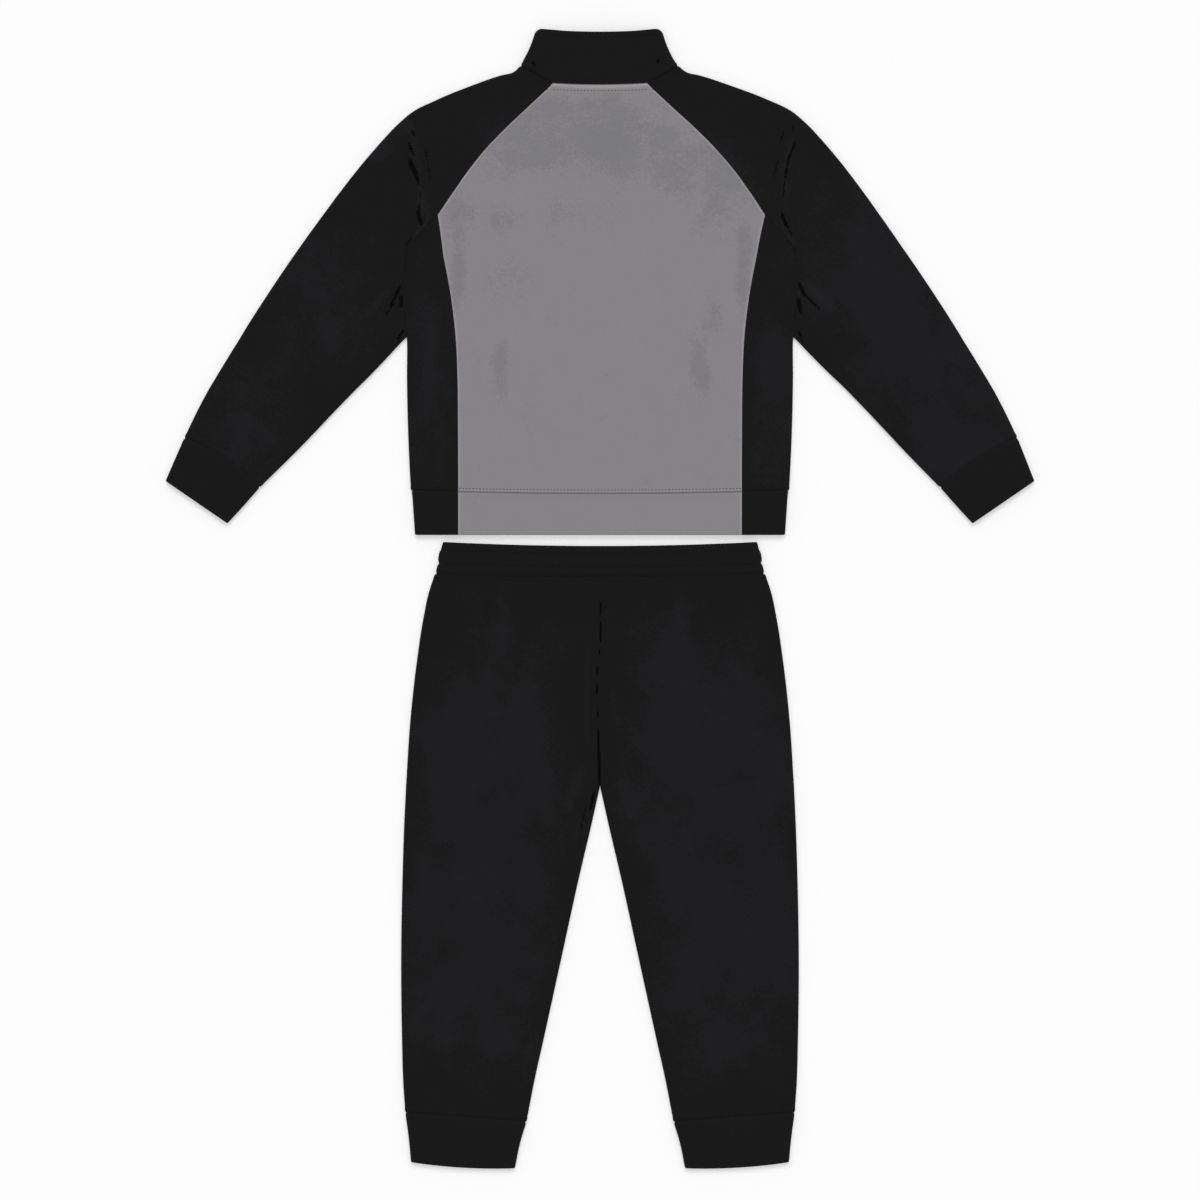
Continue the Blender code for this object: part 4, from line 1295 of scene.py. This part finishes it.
def hem_band():
    seam = Vector((side_seam_x(-HEM_SEAM_Y), HEM_SEAM_Y))
    hem = Vector((seam.x, HEM_Y))
    parts = part_steps(HEM_SEAM_Y - HEM_Y, FINE_PITCH, "seam", "hem")
    rows = []
    for part in parts:
        edge = seam.lerp(hem, part)
        row = straight((-edge.x, edge.y), edge, (0, HEM_SEAM_SAG * (1 - part)))
        rows.append(layer(BAND, row, 1, True, 104))
    # Painted highlights along its side seams, and a painted shade in its seam's groove.
    piece = shell("hem_band_centre", rows, "seam", "hem", grey_knit, 0.5, (0.01, 0.01, 2.6), shade=(1.5, 0.0))
    declare_cloth(piece, "hem_band_back", rows)
    for name, side in SIDES:
        fronts, sides = [], []
        for part in parts:
            edge = seam.lerp(hem, part)
            fold = Vector(HEM_SEAM_FOLD).lerp(Vector((HEM_FOLD_X, HEM_Y)), part)
            centre = (FRONT_EDGE_X, mix(HEM_SEAM_Y + HEM_SEAM_SAG, HEM_Y, part))
            fronts.append(layer(BAND, straight(centre, edge), side, False, 24))
            upper = layer(BAND, straight(edge, fold), side, True, 14, SEAM, FOLD)
            lower = layer(BAND, straight(fold, edge), side, False, 8, FOLD, SEAM)
            sides.append(upper + lower[1:])
        piece = shell("hem_band_front_cloth_" + name, fronts, "seam", "hem", grey_knit)
        declare_cloth(piece, "hem_band_front_" + name, fronts)
        piece = shell("hem_band_side_cloth_" + name, sides, "seam", "hem", black_rib)
        declare_cloth(piece, "hem_band_side_" + name, sides)


hem_band()

# %% [markdown]
# ## The joggers
#
# Each leg has a back and a front panel. They meet at the outer fold, at the centre seam and,
# below the crotch, at the inner fold.

# %% legs
LEG_KNOTS = running_lengths([row[:2] for row in LEG_ROWS])
LEG_CURVES = [curve_through(LEG_KNOTS, [row[k] for row in LEG_ROWS], (CROTCH,)) for k in range(4)]


def trouser_panel(name, node, side, upper):
    rows = []
    pitch, columns = (FINE_PITCH, 70) if upper else (COARSE_PITCH, 26)
    for part in part_steps(LEG_KNOTS[-1], pitch, "seam", "seam"):
        at = part * LEG_KNOTS[-1]
        outer_x, outer_y, inner_x, inner_y = [read(at) for read in LEG_CURVES]
        closing = smooth((at - LEG_KNOTS[CROTCH]) / CLOSING)
        bow = (0, WAIST_SEAM_BOW * max(0.0, 1 - at / 25))
        row = straight((outer_x, outer_y), (inner_x, inner_y), bow)
        rows.append(layer(TROUSERS, row, side, upper, columns, FOLD, (closing, 0.0)))
    piece = shell(name, rows, "seam", "seam", black_knit, 0.2)
    declare_cloth(piece, node, rows)


def waistband():
    knots = [row[0] for row in WAISTBAND_ROWS]
    half_width = curve_through(knots, [row[1] for row in WAISTBAND_ROWS])
    centre = curve_through(knots, [row[2] for row in WAISTBAND_ROWS])
    rows = []
    for part in part_steps(knots[-1] - knots[0], 1.3, "seam", "hem"):
        y = mix(knots[0], knots[-1], part)
        x, dip = half_width(y), (0, centre(y) - y)
        upper = layer(WAISTBAND, straight((-x, y), (x, y), dip), 1, True, 150, FOLD, FOLD)
        lower = layer(WAISTBAND, straight((x, y), (-x, y), dip), 1, False, 60, FOLD, FOLD)
        rows.append(upper + lower[1:])
    piece = shell("waistband_cloth", rows, "seam", "hem", black_rib, 0.15, sunk=0.9)
    declare_cloth(piece, "waistband", rows, 1.15)


waistband()
for name, side in SIDES:
    trouser_panel("leg_back_" + name, "trouser_back_" + name, side, True)
    trouser_panel("leg_front_" + name, "trouser_front_" + name, side, False)
    cuff("leg_band_" + name, "leg_cuff_" + name, side, LEG_CUFF_ROWS, 44)
print("pieces, width and length in mm, area in square cm:")
for name, size in piece_sizes.items():
    print("  ", name, *size)

# %% [markdown]
# ## Stitches and zip teeth
#
# Both are one small rounded block repeated along a line. Geometry Nodes does that: it resamples
# the line at the stitch pitch, puts a block on each point, turns it along the line, and makes
# the result real mesh. The same tree serves thread and teeth with different sizes.

# %% repeat along a line


def repeat_tree():
    tree = bpy.data.node_groups.new("repeat_along_line", "GeometryNodeTree")
    face = tree.interface
    face.new_socket(name="Line", in_out="INPUT", socket_type="NodeSocketGeometry")
    for name, kind in (("Pitch", "NodeSocketFloat"), ("Size", "NodeSocketVector"),
                       ("Material", "NodeSocketMaterial")):
        face.new_socket(name=name, in_out="INPUT", socket_type=kind)
    face.new_socket(name="Result", in_out="OUTPUT", socket_type="NodeSocketGeometry")
    given = add_node(tree, "NodeGroupInput")
    result = add_node(tree, "NodeGroupOutput")
    curve = add_node(tree, "GeometryNodeMeshToCurve")
    even = add_node(tree, "GeometryNodeResampleCurve", mode="LENGTH")
    block = add_node(tree, "GeometryNodeMeshCube")
    rounded = add_node(tree, "GeometryNodeSubdivisionSurface")
    rounded.inputs["Level"].default_value = 1
    tangent = add_node(tree, "GeometryNodeInputTangent")
    turn = add_node(tree, "FunctionNodeAlignRotationToVector", axis="X", pivot_axis="Z")
    place = add_node(tree, "GeometryNodeInstanceOnPoints")
    real = add_node(tree, "GeometryNodeRealizeInstances")
    smooth_shade = add_node(tree, "GeometryNodeSetShadeSmooth")
    dress = add_node(tree, "GeometryNodeSetMaterial")
    for source, target in (
            (given.outputs["Line"], curve.inputs["Mesh"]),
            (curve.outputs["Curve"], even.inputs["Curve"]),
            (given.outputs["Pitch"], even.inputs["Length"]),
            (given.outputs["Size"], block.inputs["Size"]),
            (block.outputs["Mesh"], rounded.inputs["Mesh"]),
            (tangent.outputs["Tangent"], turn.inputs["Vector"]),
            (even.outputs["Curve"], place.inputs["Points"]),
            (rounded.outputs["Mesh"], place.inputs["Instance"]),
            (turn.outputs["Rotation"], place.inputs["Rotation"]),
            (place.outputs["Instances"], real.inputs["Geometry"]),
            (real.outputs["Geometry"], smooth_shade.inputs["Geometry"]),
            (smooth_shade.outputs["Geometry"], dress.inputs["Geometry"]),
            (given.outputs["Material"], dress.inputs["Material"]),
            (dress.outputs["Geometry"], result.inputs["Result"])):
        tree.links.new(source, target)
    return tree


REPEAT = repeat_tree()


def repeated(name, lines, pitch, size, material):
    """A block of the given size, repeated along each line, as one plain mesh on the root body."""
    vertices, edges = [], []
    for line in lines:
        first = len(vertices)
        vertices += [Vector(point) * MM for point in line]
        edges += [(k, k + 1) for k in range(first, len(vertices) - 1)]
    guide_mesh = bpy.data.meshes.new(name + "_guide")
    guide_mesh.from_pydata(vertices, edges, [])
    guide = add_object(name + "_guide", guide_mesh)
    modifier = guide.modifiers.new("repeat", "NODES")
    modifier.node_group = REPEAT
    values = {"Pitch": pitch * MM, "Size": [s * MM for s in size], "Material": material}
    for item in REPEAT.interface.items_tree:
        if item.in_out == "INPUT" and item.name in values:
            modifier[item.identifier] = values[item.name]
    depsgraph = bpy.context.evaluated_depsgraph_get()
    mesh = bpy.data.meshes.new_from_object(guide.evaluated_get(depsgraph))
    mesh.name = name
    bpy.data.objects.remove(guide, do_unlink=True)
    piece = add_object(name, mesh)
    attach(piece, "root")
    print("  ", name, len(mesh.polygons), "faces")
    return piece


# %% [markdown]
# ## Where the thread runs
#
# Each line of stitching is laid on the cloth's own height at that place, so it follows creases and gathers. One row
# each holds the hem band, the neck seam, the collar's edge, the waistband's seam, the cuffs and the centre seam, and
# two rows the waistband's elastic.

# %% stitch lines
DASH = (2.2, 0.8, 0.42)
DASH_PITCH = 3.1


def on_cloth(cloth, points, sink=0.05):
    """Puts plan points on top of the upper layer."""
    return [(x + drift(x, y), y, cloth.heights(x, y)[2] - sink) for x, y in points]


def bowed_points(a, b, bow, count=60):
    at, length = straight(a, b, bow)
    return [tuple(at(length * k / count)) for k in range(count + 1)]


def grey_stitches():
    half = side_seam_x(-HEM_SEAM_Y) - 1.5
    back_x, back_y = SLEEVE_ROWS[0][2:4]
    neck = bowed_points((-back_x - 5.0, back_y - 6.0), (back_x + 5.0, back_y - 6.0), (0, NECK_SAG))
    lines = [on_cloth(JACKET, neck)]
    for above in (3.0,):
        hem = bowed_points((-half, HEM_SEAM_Y + above), (half, HEM_SEAM_Y + above), (0, HEM_SEAM_SAG))
        lines.append(on_cloth(JACKET, hem, -0.2))
    repeated("grey_topstitch", lines, DASH_PITCH, DASH, grey_thread)


def black_stitches():
    lines = []
    top_x, top_y = COLLAR_TOP_FOLD
    below = 5.0
    collar_edge = []
    for k in range(-20, 21):
        share = k / 20
        x = share * (top_x - 3.0)
        collar_edge.append((x, mix(COLLAR_TOP_BACK_Y, top_y, share ** 2) - below))
    lines.append(on_cloth(COLLAR, collar_edge))
    for y_side, y_centre, half in ((44.6, 41.4, 142.0), (32.2, 29.7, 143.0)):
        row = bowed_points((-half, y_side), (half, y_side), (0, y_centre - y_side), 150)
        lines.append(on_cloth(WAISTBAND, row))
    seam = bowed_points((-147.0, 19.0), (147.0, 19.0), (0, -2.4), 150)
    lines.append(on_cloth(TROUSERS, seam))
    centre = [(-3.2, mix(16.0, -166.0, k / 60)) for k in range(61)]
    lines.append(on_cloth(TROUSERS, centre))
    for _, side in SIDES:
        fold_x, fold_y, back_x, back_y = SLEEVE_ROWS[0][:4]
        neck = bowed_points((side * (back_x + 7.5), back_y - 2.5), (side * (fold_x - 1.0), fold_y - 6.5), (0, 0), 12)
        lines.append(on_cloth(JACKET, neck))
        side_hem = bowed_points((side * 132.5, HEM_SEAM_Y + 3.0), (side * 169.0, HEM_SEAM_Y + 4.0), (0, 0), 12)
        lines.append(on_cloth(JACKET, side_hem, -0.1))
        outer_x, outer_y, inner_x, inner_y = CUFF_ROWS[0][:4]
        up = Vector((-3.0 * 0.55, 3.0 * 0.84))
        wrist = bowed_points(Vector((side * (inner_x + 3.5 + up.x), inner_y + 2.6 + up.y)),
                             Vector((side * (outer_x - 3.5 + up.x), outer_y - 2.6 + up.y)),
                             (side * CUFF_BOW.x, CUFF_BOW.y), 24)
        lines.append(on_cloth(JACKET, wrist))
        outer_x, outer_y, inner_x, inner_y = LEG_CUFF_ROWS[0][:4]
        ankle = bowed_points((side * (inner_x + 4), inner_y + 3.4), (side * (outer_x - 4), outer_y + 2.8), (0, 0), 24)
        lines.append(on_cloth(TROUSERS, ankle))
    repeated("black_topstitch", lines, DASH_PITCH, DASH, black_thread)


print("repeated pieces:")
grey_stitches()
black_stitches()

# %% [markdown]
# ## The zip
#
# The zip closes the front, so it faces the floor. Its tapes are woven strips, its teeth mesh in
# two rows that stand half a pitch apart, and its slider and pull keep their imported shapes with
# softened edges.

# %% zip tapes and teeth
CHAIN_LIFT_RATIO = 1.232
TAPE_LIFT_RATIO = 1.3
TAPE_X = (3.1, 7.7)
TAPE_Z = 0.3
TAPE_WALL = 1.0
TOOTH_PITCH = 2.4
TOOTH = (1.5, 3.3, 2.1)
CHAIN_Y = (60.4, 474.6)


def zip_tapes():
    low_y, high_y = HEM_Y + 0.5, COLLAR_TOP_FRONT_Y - 0.5
    for name, side in SIDES:
        rows = []
        for k in range(171):
            y = mix(low_y, high_y, k / 170)
            base = TAPE_Z + TAPE_LIFT_RATIO * lift(0, y)
            row = []
            for j in range(7):
                x = side * mix(*TAPE_X, j / 6)
                row.append((Vector((x, y, base)), Vector((x, y, base + TAPE_WALL)), FAR, 0.0, 0.0, 0.0))
            rows.append(row)
        piece = shell("zip_tape_weave_" + name, rows, "hem", "hem", zip_tape)
        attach(piece, "root")
        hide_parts("zip_tape_" + name)


def zip_chain():
    lines = []
    for index, side in enumerate((-1, 1)):
        start = CHAIN_Y[0] + 1.0 + index * TOOTH_PITCH / 2
        count = int((CHAIN_Y[1] - 1.0 - start) / TOOTH_PITCH)
        line = []
        for k in range(count + 1):
            y = start + k * TOOTH_PITCH
            line.append((side * 1.15, y, 1.05 + CHAIN_LIFT_RATIO * lift(0, y)))
        lines.append(line)
    piece = repeated("zip_tooth_rows", lines, TOOTH_PITCH, TOOTH, zip_teeth)
    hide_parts("zip_chain")


zip_tapes()
zip_chain()

# %% slider and pull tab
SOFTENED_EDGE = 0.12


def softened(node, name, body):
    """A copy of a packed metal piece with its sharp edges broken, as casting leaves them."""
    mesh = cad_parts[node].data.copy()
    mesh.name = name
    work = bmesh.new()
    work.from_mesh(mesh)
    bmesh.ops.remove_doubles(work, verts=work.verts, dist=1e-7)
    bmesh.ops.dissolve_limit(work, angle_limit=math.radians(1), verts=work.verts, edges=work.edges)
    sharp = [edge for edge in work.edges if edge.is_manifold and edge.calc_face_angle(0) > math.radians(40)]
    bmesh.ops.bevel(work, geom=sharp, offset=SOFTENED_EDGE * MM, segments=2, affect="EDGES", clamp_overlap=True)
    work.to_mesh(mesh)
    work.free()
    mesh.materials.clear()
    mesh.materials.append(slider_metal)
    mesh.shade_smooth()
    mesh.set_sharp_from_angle(angle=math.radians(50))
    piece = add_object(name, mesh)
    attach(piece, body)
    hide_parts(node)
    print("  ", name, len(mesh.polygons), "faces")


softened("zip_slider", "slider_body", "root")
softened("zip_pull", "slider_pull_tab", "pull_tab")
